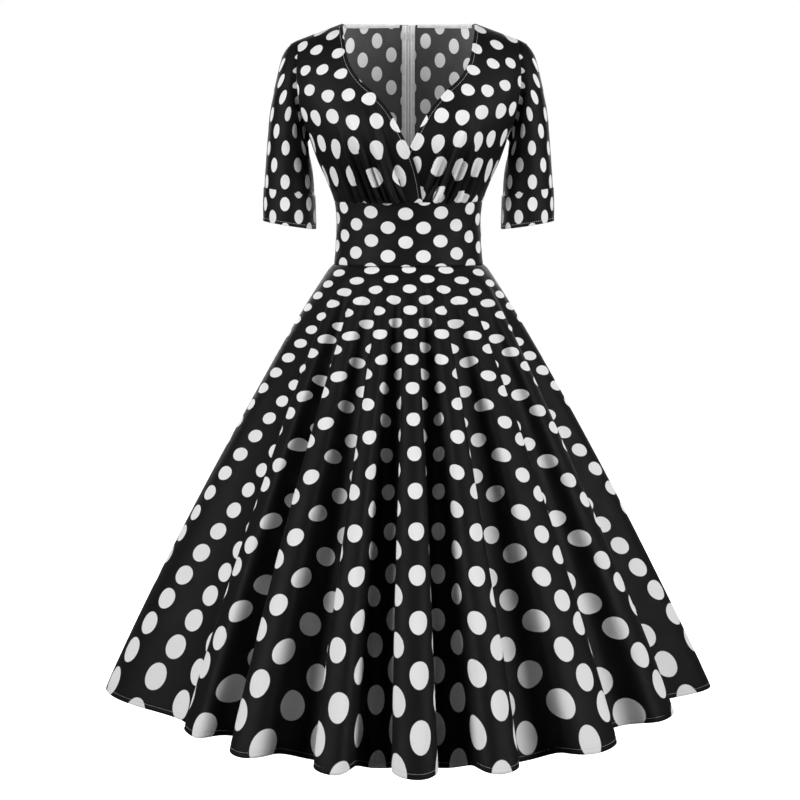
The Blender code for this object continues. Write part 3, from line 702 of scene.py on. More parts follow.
@dataclass(frozen=True)
class Tape:
    """Grey woven tape with ribs along it, and two lines given in millimetres from a zip's middle."""

    name: str
    colour: tuple = grey(0.78)
    dark: float = 0.66
    pale: float = 1.22
    rib_pitch: float = 0.0011
    pick_pitch: float = 0.00066
    groove: float = 2.1
    groove_shade: float = -1.0
    seam: float = 4.6
    seam_shade: float = 0.35
    line_edge: tuple[float, float] = (0.35, 0.75)

    def make(self) -> Material:
        """Build the material from its ribs, its fine cross threads and its lines.

        Returns:
            The material.
        """
        bench = Bench(self.name)
        thread = bench.attribute("thread_place")
        across, along, _ = bench.split(thread)
        rib = bench.ranged(bench.waves(across, self.rib_pitch), (-1, 1, 0, 0.7))
        pick = bench.ranged(bench.waves(along, self.pick_pitch), (-1, 1, 0, 0.3))
        height = bench.maths("ADD", rib, pick)
        cloud = bench.noise(thread, 90.0, 3.0)
        out = bench.split(bench.attribute("dot_place"))[0]
        light = [bench.maths("MULTIPLY", height, 0.35), bench.maths("MULTIPLY", cloud, 0.65)]
        for middle, shade in ((self.groove, self.groove_shade), (self.seam, self.seam_shade)):
            aside = bench.maths("ABSOLUTE", bench.maths("SUBTRACT", out, middle))
            light.append(bench.ranged(aside, (*self.line_edge, shade, 0), smooth=True))
        tone = bench.ranged(bench.maths("ADD", *light), (0.2, 0.8, 0, 1))
        bench.surface(
            Base_Color=bench.blend(tone, toned(self.colour, self.dark), toned(self.colour, self.pale)),
            Roughness=bench.ranged(cloud, (0.3, 0.7, 0.62, 0.8)),
            Sheen_Weight=0.2,
            Sheen_Roughness=0.4,
            Specular_IOR_Level=0.3,
        )
        bench.bump(height, 0.0002, 0.6)
        return bench.material


@dataclass(frozen=True)
class Solid:
    """A finish with fine grain on Object coordinates, for thread, coil and metal."""

    name: str
    colour: tuple
    roughness: float
    metallic: float = 0.0
    grain: float = 2500.0
    stretch: tuple = (1.0, 1.0, 1.0)
    variation: float = 0.15
    depth: float = 0.00005

    def make(self) -> Material:
        """Build the material from a fine noise that shades, roughens and bumps it.

        Returns:
            The material.
        """
        bench = Bench(self.name)
        place = bench.node("ShaderNodeTexCoord").outputs["Object"]
        fine = bench.noise(place, self.grain, 3.0, self.stretch)
        dark, pale = toned(self.colour, 1 - self.variation), toned(self.colour, 1 + self.variation)
        bench.surface(
            Base_Color=bench.blend(bench.ranged(fine, (0.3, 0.7, 0, 1)), dark, pale),
            Roughness=bench.ranged(fine, (0.3, 0.7, self.roughness - 0.07, self.roughness + 0.07)),
            Metallic=self.metallic,
        )
        bench.bump(fine, self.depth, 0.4)
        return bench.material


class Finishes:
    """The materials of the dress, each made once."""

    def __init__(self) -> None:
        """Make them all."""
        wrong_side = Cotton(
            "dotted_cotton_wrong_side",
            ground=grey(0.075),
            dot=grey(0.80),
            roughness=0.8,
            sheen=0.15,
            gloss=0.2,
            mottle=0.34,
            weave_depth=0.0002,
        )
        metal = Solid("brushed_metal", grey(0.80), 0.42, 0.4, stretch=(1.0, 1.0, 0.06), depth=0.00002)
        self.cotton = (Cotton("dotted_cotton").make(), wrong_side.make())
        self.tape = (Tape("grey_tape").make(),) * 2
        self.coil = Solid("nylon_coil", grey(0.95), 0.42, grain=1800.0).make()
        self.thread = Solid("white_thread", grey(0.62), 0.7, grain=5000.0).make()
        self.metal = metal.make()


# ---- the figure
@dataclass(frozen=True)
class Figure:
    """The worn form that the bodice and the band follow, ring above ring."""

    # z, half width, depth in front, depth behind, squareness
    rings: tuple = (
        (0.040, 0.180, 0.098, 0.086, 0.62),
        (-0.030, 0.180, 0.100, 0.092, 0.62),
        (-0.100, 0.178, 0.104, 0.100, 0.62),
        (-0.150, 0.167, 0.107, 0.101, 0.67),
        (-0.185, 0.1535, 0.108, 0.099, 0.76),
        (-0.216, 0.1425, 0.106, 0.095, 0.84),
        (-0.248, 0.1280, 0.100, 0.090, 0.92),
        (-0.280, 0.1165, 0.094, 0.085, 0.96),
        (-0.327, 0.1135, 0.089, 0.081, 0.98),
        (-0.3775, 0.1175, 0.093, 0.087, 1.00),
    )
    neck_half_width: float = 0.103
    shoulder_half_width: float = 0.174
    neck_point: float = -0.005
    shoulder_drop: float = 0.026
    back_neck_rise: float = 0.045
    back_neck_lift: float = 0.0035
    chest_rounding: float = 0.130
    blade_rounding: float = 0.100
    bust_x: float = 0.078
    bust_z: float = -0.182
    bust_out: float = 0.024
    bust_wide: float = 0.050
    bust_tall: float = 0.052
    between_share: float = 0.35
    between_wide: float = 0.05
    armhole_bottom: float = -0.183
    armhole_front: float = 0.046
    armhole_back: float = 0.050
    armhole_angle: float = 0.6
    band_top: float = -0.280
    band_bottom: float = -0.3775
    half_gap: float = 0.00015
    band_half_width: float = 0.13
    waist_half_width: float = 0.1175
    waist_depth: float = 0.090

    def side_angle(self) -> float:
        """Ring angle of the side seam, half a gap short of a right angle."""
        return math.pi / 2 - self.half_gap / self.band_half_width

    def ring_at(self, z: Array) -> tuple[Array, Array, Array, Array]:
        """Half width, front depth, back depth and squareness of the ring at a height."""
        found = smooth_table(self.rings, z)
        return found[..., 1], found[..., 2], found[..., 3], found[..., 4]

    def ridge(self, x: Array) -> Array:
        """Height of the shoulder line: straight on the shoulder, a parabola over the neck.

        Args:
            x: Distance from the centre.

        Returns:
            Its height.
        """
        x = np.abs(x)
        slope = self.shoulder_drop / (self.shoulder_half_width - self.neck_half_width)
        over_neck = self.back_neck_rise * (1 - (x / self.neck_half_width) ** 2)
        over_arm = -slope * (x - self.neck_half_width)
        return self.neck_point + np.where(x < self.neck_half_width, over_neck, over_arm)

    def bust(self, x: Array, z: Array) -> Array:
        """How far the cups stand out: a bell-shaped hill each side and a low one between.

        Args:
            x: Distance from the centre.
            z: Height.

        Returns:
            Metres added to the depth.
        """
        hills = bell(np.abs(x) - self.bust_x, self.bust_wide)
        between = self.between_share * bell(x, self.between_wide)
        return self.bust_out * bell(z - self.bust_z, self.bust_tall) * (hills + between)

    def at(self, angle: Array, z: Array, side: Side) -> Array:
        """Point of the form at a ring angle and a height.

        The ring is a superellipse: its sine and cosine are raised to the squareness. The
        depth closes to the shoulder line as a quarter circle.

        Args:
            angle: 0 at the centre and a right angle at the side.
            z: Height.
            side: Front or back.

        Returns:
            Points.
        """
        half_width, front, back, power = self.ring_at(z)
        x = half_width * np.sign(np.sin(angle)) * np.abs(np.sin(angle)) ** power
        is_front = side is Side.FRONT
        rounding = self.chest_rounding if is_front else self.blade_rounding
        share = np.clip((self.ridge(x) - z) / rounding, 0.0, 1.0)
        depth = (front if is_front else back) * np.abs(np.cos(angle)) ** power
        if is_front:
            depth = depth + self.bust(x, z) * np.abs(np.cos(angle)) ** 0.5
        return grid_of(x, side.value * depth * np.sqrt(share * (2 - share)), z)

    def normals(self, angle: Array, z: Array, side: Side) -> Array:
        """Unit normals out of the form, from small steps round it and up it.

        Args:
            angle: Ring angle.
            z: Height.
            side: Front or back.

        Returns:
            Unit vectors.
        """
        step = 1e-4
        around = self.at(angle + step, z, side) - self.at(angle - step, z, side)
        up = self.at(angle, z + step, side) - self.at(angle, z - step, side)
        return unit(np.cross(around, up) * -side.value)

    def angle_of(self, x: Array, z: Array) -> Array:
        """Ring angle at which the form has this x, the superellipse turned round.

        Args:
            x: Distance from the centre.
            z: Height.

        Returns:
            Angles.
        """
        half_width, _, _, power = self.ring_at(z)
        share = np.clip(np.abs(x) / half_width, 0.0, 1.0)
        return np.sign(x) * np.arcsin(share ** (1 / power))

    def armhole(self, turn: Array, side: Side) -> tuple[Array, Array]:
        """Ring angle and height of the armhole, an oval seen from the side.

        The angle at which the form is as deep as the oval is found by halving.

        Args:
            turn: 0 at the shoulder and pi under the arm.
            side: Front or back.

        Returns:
            Angles and heights.
        """
        top = self.neck_point - self.shoulder_drop
        z = (top + self.armhole_bottom) / 2 + (top - self.armhole_bottom) / 2 * np.cos(turn)
        wanted = (self.armhole_front if side is Side.FRONT else self.armhole_back) * np.sin(turn)
        low, high = np.full_like(z, self.armhole_angle), np.full_like(z, math.pi / 2)
        for _ in range(50):
            guess = (low + high) / 2
            deeper = np.abs(self.at(guess, z, side)[..., 1]) > wanted
            low, high = np.where(deeper, guess, low), np.where(deeper, high, guess)
        return (low + high) / 2, z

    def top_edge(
        self, neck_x: Array, neck_z: Array, side: Side, steps: tuple[int, int]
    ) -> tuple[Array, Array]:
        """Ring angle and height along a panel's neck, shoulder and armhole.

        Args:
            neck_x: The neck's distance from the centre.
            neck_z: The neck's height.
            side: Front or back.
            steps: Steps along the shoulder and down the armhole.

        Returns:
            Angles and heights.
        """
        shoulder_x = np.linspace(self.neck_half_width, self.shoulder_half_width, steps[0] + 1)[1:]
        z = np.concatenate([neck_z, self.ridge(shoulder_x + 1e-9)])
        angle = self.angle_of(np.concatenate([neck_x, shoulder_x]), z)
        arm_angle, arm_z = self.armhole(np.linspace(0.0, math.pi, steps[1] + 1)[1:], side)
        angle = np.minimum(np.concatenate([angle, arm_angle]), self.side_angle())
        return angle, np.concatenate([z, arm_z])


FIGURE = Figure()


# ---- bodice
@dataclass(frozen=True)
class Lay:
    """How the dots' columns and rows lie on a front, in dots for each 10 cm of cloth."""

    start: tuple[float, float]
    across: tuple[float, float]
    down: tuple[float, float]
    twist: tuple[float, float]
    sag: tuple[float, float]
    middle: tuple[float, float] = (0.09, 0.15)

    def place(self, across: Array, down: Array) -> Array:
        """Lattice numbers of a place: the half sum and half difference of column and row.

        Column and row grow evenly across and down, with a twist from the product of both
        distances and a sag from the square of the distance down.

        Args:
            across: Metres from the centre.
            down: Metres below the origin.

        Returns:
            The two lattice numbers along a new last axis.
        """
        a, d = (across - self.middle[0]) * 10, (down - self.middle[1]) * 10
        terms = zip((self.start, self.across, self.down, self.twist, self.sag), (1, a, d, a * d, d * d))
        dots = sum(np.multiply.outer(term, np.array(pair)) for pair, term in terms)
        column, row = dots[..., 0], dots[..., 1]
        return grid_of((column + row) / 2, (column - row) / 2)


@dataclass(frozen=True)
class DragFold:
    """The soft fold beside the upper front's edge: a valley, and a ridge past it."""

    foot: tuple[float, float] = (0.016, -0.255)
    slant: float = 0.29
    depth: float = 0.0042
    width: float = 0.0065
    top: float = -0.105
    fade: float = 0.05
    ridge_out: float = 2.3
    ridge_wide: float = 1.5
    ridge_share: float = 0.8

    def lift(self, x: Array, z: Array) -> Array:
        """Metres off the form, from two bell curves across a slanting line.

        Args:
            x: Distance from the centre.
            z: Height.

        Returns:
            The sum of valley and ridge.
        """
        off = x - self.foot[0] - self.slant * (z - self.foot[1])
        ridge = bell(off - self.ridge_out * self.width, self.ridge_wide * self.width)
        seen = smooth_step((self.top - z) / self.fade)
        return self.depth * seen * (self.ridge_share * ridge - bell(off, self.width))


@dataclass
class Bodice:
    """Two crossing fronts gathered into the band, and two backs that meet at the zip."""

    finishes: Finishes
    figure: Figure = FIGURE
    wall: float = 0.0010
    rows: int = 116
    length: float = 0.25
    neck_steps: int = 84
    neck_foot: float = 0.005
    back_neck_steps: int = 40
    edge_steps: tuple[int, int] = (20, 54)
    chords: int = 24
    row_crowding: float = 1.35
    turn_mix: float = 0.25
    turn_crowding: float = 1.2
    seam_tuck: float = 0.0005
    seam_width: float = 0.0013
    left_back_dots: Dots = Dots((0.0085, 0.0117), (0.0465, 0.0515), (0.0275, 0.0257), 0.18)
    right_back_dots: Dots = Dots((0.0085, 0.0117), (0.0465, 0.0515), (0.0275, 0.0471), 0.18)
    front_cut: Cut = Cut((0.30, 0.31), Held.GATHERED, 0.058)
    back_cut: Cut = Cut((0.22, 0.29), Held.HUNG, 0.046)
    dot_tilt: float = math.radians(20.0)
    tucked: float = 0.0045
    tucked_from: float = 0.004
    drag_fold: DragFold = DragFold()
    under_gathers_from: float = 0.023
    under_gathers_fade: float = 0.015
    gather_lean: float = 0.40
    gather_root: float = 0.55
    gather_rise: float = 0.015
    gather_power: tuple[float, float] = (1.5, 0.6)
    wrap_from: float = 0.030
    wrap_fade: float = 0.035
    over_lift: float = 0.0016
    under_lift: float = -0.0011
    zip_mouth: float = 0.0032
    zip_mouth_length: float = 0.045

    # x towards the piece's own shoulder, z
    neckline: tuple = (
        (0.1030, -0.005),
        (0.0980, -0.036),
        (0.0905, -0.070),
        (0.0760, -0.0935),
        (0.0540, -0.1145),
        (0.0300, -0.1430),
        (0.0105, -0.1780),
        (-0.0010, -0.2010),
        (-0.0125, -0.2330),
        (-0.0210, -0.280),
    )
    # x along the band, height, reach up the bodice
    gathers: tuple = (
        (0.0080, 0.0062, 0.075),
        (0.0190, 0.0112, 0.120),
        (0.0300, 0.0066, 0.085),
        (0.0405, 0.0125, 0.150),
        (0.0515, 0.0064, 0.085),
        (0.0620, 0.0118, 0.135),
        (0.0730, 0.0060, 0.080),
        (0.0840, 0.0092, 0.105),
        (0.0950, 0.0036, 0.055),
    )
    # metres below the origin, half width and half height of a dot
    front_dots: tuple = (
        (0.030, 0.0112, 0.0074),
        (0.100, 0.0108, 0.0080),
        (0.145, 0.0110, 0.0112),
        (0.185, 0.0100, 0.0132),
        (0.225, 0.0096, 0.0172),
        (0.280, 0.0092, 0.0125),
    )
    over_lay: Lay = Lay((0.11, 3.84), (2.91, 0.27), (0.39, 2.72), (-0.34, -0.26), (-0.57, -0.39))
    under_lay: Lay = Lay((0.27, 4.06), (3.09, 0.27), (0.46, 2.75), (-0.08, -0.44), (-0.37, -0.34))
    # waves for each metre across and up, and where they start
    waver: tuple = ((88, 62, 1.0), (71, -83, 2.0))
    waver_size: float = 0.040

    def gather_phase(self, x: Array, z: Array) -> tuple[Array, Array, Array, Array]:
        """Find the gather that a place belongs to.

        Args:
            x: Distance from the centre.
            z: Height.

        Returns:
            Place between the creases beside the gather, from -0.5 to 0.5, the height above
            the band, how much of the gather is left at that height, and its full height.
        """
        places, heights, reaches = np.array(self.gathers).T
        above = z - self.figure.band_top
        knots = np.pad(places, 1, mode="reflect", reflect_type="odd")
        phase = np.interp(x - self.gather_lean * above, knots, np.arange(-1, len(places) + 1))
        nearest = np.clip(np.round(phase).astype(int), 0, len(places) - 1)
        left = 1 - smooth_step(above / reaches[nearest])
        return np.clip(phase - nearest, -0.5, 0.5), above, left, heights[nearest]

    def gather_lift(self, x: Array, z: Array) -> Array:
        """How far the gathers stand out: round ridges with sharp creases between them.

        A ridge is 1 less a power of the distance from its crest, so it falls ever more
        steeply towards its creases. Ridges lean outwards and die away upwards.

        Args:
            x: Distance from the centre.
            z: Height.

        Returns:
            Metres off the form.
        """
        phase, above, left, height = self.gather_phase(x, z)
        swell = self.gather_root + (1 - self.gather_root) * smooth_step(above / self.gather_rise)
        power = self.gather_power[0] + self.gather_power[1] * left
        return height * swell * left * (1 - np.abs(2 * phase) ** power)

    def panel(
        self, top_angle: Array, top_z: Array, low_angle: Array, side: Side
    ) -> tuple[Array, Array, Array]:
        """Ring angles, points and normals of a panel, from its top edge to the band.

        Rows lie closer together at the top, where the form turns over the shoulder.

        Args:
            top_angle: Ring angles of the top edge.
            top_z: Heights of the top edge.
            low_angle: Ring angles along the band.
            side: Front or back.

        Returns:
            Angles, points and normals.
        """
        gap = self.figure.half_gap
        down = fine_ends(self.rows, self.length)[:, None] ** self.row_crowding
        z = top_z + (self.figure.band_top + 2 * gap - top_z) * (down + smooth_step(down)) / 2
        turn = smooth_step(self.turn_mix * down + (1 - self.turn_mix) * down**self.turn_crowding)
        angle = top_angle + (low_angle - top_angle) * turn
        points = self.figure.at(angle, z, side)
        below = np.minimum(z, self.figure.ridge(points[..., 0]) - 2e-4)
        shoulder = np.abs(points[0, :, 1]) < gap
        points[0, shoulder, 1] = side.value * gap
        return angle, points, self.figure.normals(angle, below, side)

    def tuck(self, points: Array, neck: int) -> Array:
        """How far the cloth dips at its sewn edges: the shoulder, armhole, side and band.

        Args:
            points: The panel's points.
            neck: Number of columns along the open neck.

        Returns:
            Metres to move the points in, a bell curve of the distance to the nearest edge.
        """
        down = distance(points, points[:1])
        down[:, :neck] = FAR
        others = np.minimum(distance(points, points[-1:]), distance(points, points[:, -1:]))
        return self.seam_tuck * bell(np.minimum(down, others), self.seam_width)

    def front_edge(self, steps: int) -> tuple[Array, Array]:
        """Distance from the centre and height along one front's neck, from its lower corner.

        Args:
            steps: Steps of equal length along the smooth curve through the neckline.

        Returns:
            Distances and heights.
        """
        points = np.array(self.neckline[::-1])
        run = length_along(points)
        neck = smooth_table(np.column_stack([run / run[-1], points]), np.linspace(0.0, 1.0, steps + 1))
        return neck[:, 1], np.maximum(neck[:, 2], self.figure.band_top + self.neck_foot)

    def lift_at(self, x: Array, z: Array, angle: Array, over: bool) -> Array:
        """Metres that a front stands off the form at a place.

        Args:
            x: Distance from the centre towards its own shoulder.
            z: Height.
            angle: Ring angle.
            over: Whether this is the front on top.

        Returns:
            The sum of its gathers, its drag fold and its place in the wrap.
        """
        lift = self.gather_lift(x, z)
        if over:
            lift = lift + self.drag_fold.lift(x, z)
        else:
            lift = lift * smooth_step((x - self.under_gathers_from) / self.under_gathers_fade)
        near = 1 - smooth_step((np.abs(x) - self.wrap_from) / self.wrap_fade)
        return lift * np.abs(np.cos(angle)) ** 0.5 + (self.over_lift if over else self.under_lift) * near

    def front(self, over: bool) -> Patch:
        """Outer face of one front, for the side at +X.

        Args:
            over: Whether this is the front on top.

        Returns:
            The patch.
        """
        top_angle, top_z = self.figure.top_edge(
            *self.front_edge(self.neck_steps), Side.FRONT, self.edge_steps
        )
        start = self.figure.angle_of(np.array(self.neckline[-1][0]), np.array(self.figure.band_top))
        low_angle = np.linspace(float(start), self.figure.side_angle(), len(top_z))
        angle, points, normals = self.panel(top_angle, top_z, low_angle, Side.FRONT)
        lift = self.lift_at(points[..., 0], points[..., 2], angle, over)
        points = points + normals * (lift - self.tuck(points, self.neck_steps))[..., None]
        return Patch(points, normals, self.front_print(points, angle, over))

    def front_print(self, points: Array, angle: Array, over: bool) -> Print:
        """Dots of a front. Flat metres across are the run round the form at each height.

        Args:
            points: The front's points.
            angle: Their ring angles.
            over: Whether this is the front on top.

        Returns:
            The print.
        """
        x, z = points[..., 0], points[..., 2]
        across = self.run_round(angle, z, Side.FRONT)
        phase, above, left, _ = self.gather_phase(x, z)
        tucked = self.tucked * left * smooth_step(above / self.tucked_from) * phase
        lay = self.over_lay if over else self.under_lay
        waver = self.waver_size * grid_of(*(np.sin(a * across + u * z + w) for a, u, w in self.waver))
        flat = grid_of(across, -z)
        cosine, sine = math.cos(self.dot_tilt), math.sin(self.dot_tilt)
        turned = flat @ np.array([[cosine, -sine], [sine, cosine]])
        half = smooth_table(self.front_dots, -z)[..., 1:]
        shape = flat_shape(lay.place(across, -z) + waver, turned, half)
        return Print(lay.place(across - tucked, -z) + waver, shape, flat)

    def run_round(self, angle: Array, z: Array, side: Side) -> Array:
        """Metres round a ring from the centre, as the sum of short chords.

        Args:
            angle: Ring angles.
            z: Heights.
            side: Front or back.

        Returns:
            Metres, with the sign of the angle.
        """
        shares = np.linspace(0.0, 1.0, self.chords + 1)
        rings = [self.figure.at(angle * share, z, side) for share in shares]
        return np.sign(angle) * sum(distance(b, a) for a, b in zip(rings[:-1], rings[1:]))

    def back(self, dots: Dots) -> Patch:
        """Outer face of one back, for the side at +X.

        Args:
            dots: Dots of this back.

        Returns:
            The patch.
        """
        run = np.linspace(0.0, 1.0, self.back_neck_steps + 1)
        half, wide = self.zip_mouth / 2, self.figure.neck_half_width
        neck_x = half + (run + np.sin(run * math.pi / 2)) / 2 * (wide - half)
        neck_z = self.figure.neck_point + self.figure.back_neck_lift * (1 - (neck_x / wide) ** 2)
        top_angle, top_z = self.figure.top_edge(neck_x, neck_z, Side.BACK, self.edge_steps)
        low_angle = np.linspace(0.0, top_angle[-1], len(top_z))
        angle, points, normals = self.panel(top_angle, top_z, low_angle, Side.BACK)
        points = points - normals * self.tuck(points, len(neck_x))[..., None]
        points[:, 0, 0] = np.maximum(self.zip_half_gap(points[:, 0, 2]), self.figure.half_gap)
        across = self.run_round(angle, points[..., 2], Side.BACK)
        return Patch(points, normals, dots.on(across, -points[..., 2]))

    def zip_half_gap(self, z: Array) -> Array:
        """Half of the opening between the backs, wide at the neck and closed below."""
        closing = 1 - smooth_step((self.figure.neck_point - z) / self.zip_mouth_length)
        return self.figure.half_gap + (self.zip_mouth / 2 - self.figure.half_gap) * closing

    def build(self) -> None:
        """Make the four panels."""
        gap = self.figure.half_gap
        fore, left, right = ((FAR, -gap, FAR), (gap, gap, -FAR), (-FAR, gap, -FAR))
        over, under = self.front(True).mirrored(), self.front(False)
        backs = (self.back(self.left_back_dots), self.back(self.right_back_dots).mirrored())
        shells = (
            (Shell("bodice_over_front", over, self.wall, flip=True, high=fore), "bodice_front_right"),
            (Shell("bodice_under_front", under, self.wall, high=fore), "bodice_front_left"),
            (Shell("bodice_left_back", backs[0], self.wall, flip=True, low=left), "bodice_back_left"),
            (
                Shell("bodice_right_back", backs[1], self.wall, low=right, high=(-gap, FAR, FAR)),
                "bodice_back_right",
            ),
        )
        for shell, node in shells:
            cut = self.front_cut if "front" in node else self.back_cut
            sew(shell, node, cut, self.finishes.cotton)


# ---- midriff band
@dataclass
class Midriff:
    """The fitted band between the gathers and the skirt."""

    finishes: Finishes
    figure: Figure = FIGURE
    wall: float = 0.0011
    rows: int = 44
    width: float = 0.3
    front_columns: int = 190
    back_columns: int = 96
    tuck: float = 0.0006
    tuck_width: float = 0.0014
    ease: float = 0.0007
    ease_waves: tuple[float, float] = (9.0, 14.0)
    dots: Dots = Dots((0.0113, 0.0095), (0.0545, 0.0435), (-0.0048, 0.0172))
    sag: float = 0.7
    front_cut: Cut = Cut((0.325, 0.0975), Held.STRETCHED)
    back_cut: Cut = Cut((0.158, 0.0975), Held.STRETCHED)

    def stretch(self, start: float, end: float, side: Side, columns: int) -> Patch:
        """Outer face of the band between two ring angles.

        It follows the form, with small slanting swells and a dip at each sewn edge.

        Args:
            start: First ring angle.
            end: Last ring angle.
            side: Front or back.
            columns: Number of columns.

        Returns:
            The patch.
        """
        angle = start + (end - start) * fine_ends(columns, self.width)[None, :]
        height = self.figure.band_top - self.figure.band_bottom
        down = fine_ends(self.rows, height)[:, None]
        angle, z = np.broadcast_arrays(angle, self.figure.band_top - height * down)
        points = self.figure.at(angle, z, side)
        normals = self.figure.normals(angle, z, side)
        fall = self.figure.band_top - z
        edge = np.minimum(fall, height - fall)
        aside = np.minimum(angle - start, end - angle) * self.figure.waist_half_width
        round_it, down_it = self.ease_waves
        ease = self.ease * np.sin(math.pi * down) ** 2 * np.sin(round_it * angle + down_it * down)
        lift = ease - self.tuck * bell(np.minimum(edge, aside), self.tuck_width)
        points = points + normals * lift[..., None]
        run = length_along(points[len(z) // 2])
        centre = np.interp(0.0, angle[0], run) if start < 0 < end else 0.0
        across = np.broadcast_to(run - centre, z.shape)
        return Patch(points, normals, self.dots.on(across, fall, self.sag * across**2))

    def build(self) -> None:
        """Make the front and the two backs of the band."""
        top, low, gap = self.figure.band_top, self.figure.band_bottom, self.figure.half_gap
        start = gap / self.figure.waist_half_width
        end = math.pi / 2 - start
        front = self.stretch(-end, end, Side.FRONT, self.front_columns)
        back = self.stretch(start, end, Side.BACK, self.back_columns)
        ends = {"low": (-FAR, -FAR, low), "high": (FAR, -gap, top)}
        shell = Shell("midriff_front_band", front, self.wall, **ends)
        sew(shell, "midriff_front", self.front_cut, self.finishes.cotton)
        ends = {"low": (gap, gap, low), "high": (FAR, FAR, top)}
        shell = Shell("midriff_left_band", back, self.wall, flip=True, **ends)
        sew(shell, "midriff_back_left", self.back_cut, self.finishes.cotton)
        ends = {"low": (-FAR, gap, low), "high": (-gap, FAR, top)}
        shell = Shell("midriff_right_band", back.mirrored(), self.wall, **ends)
        sew(shell, "midriff_back_right", self.back_cut, self.finishes.cotton)


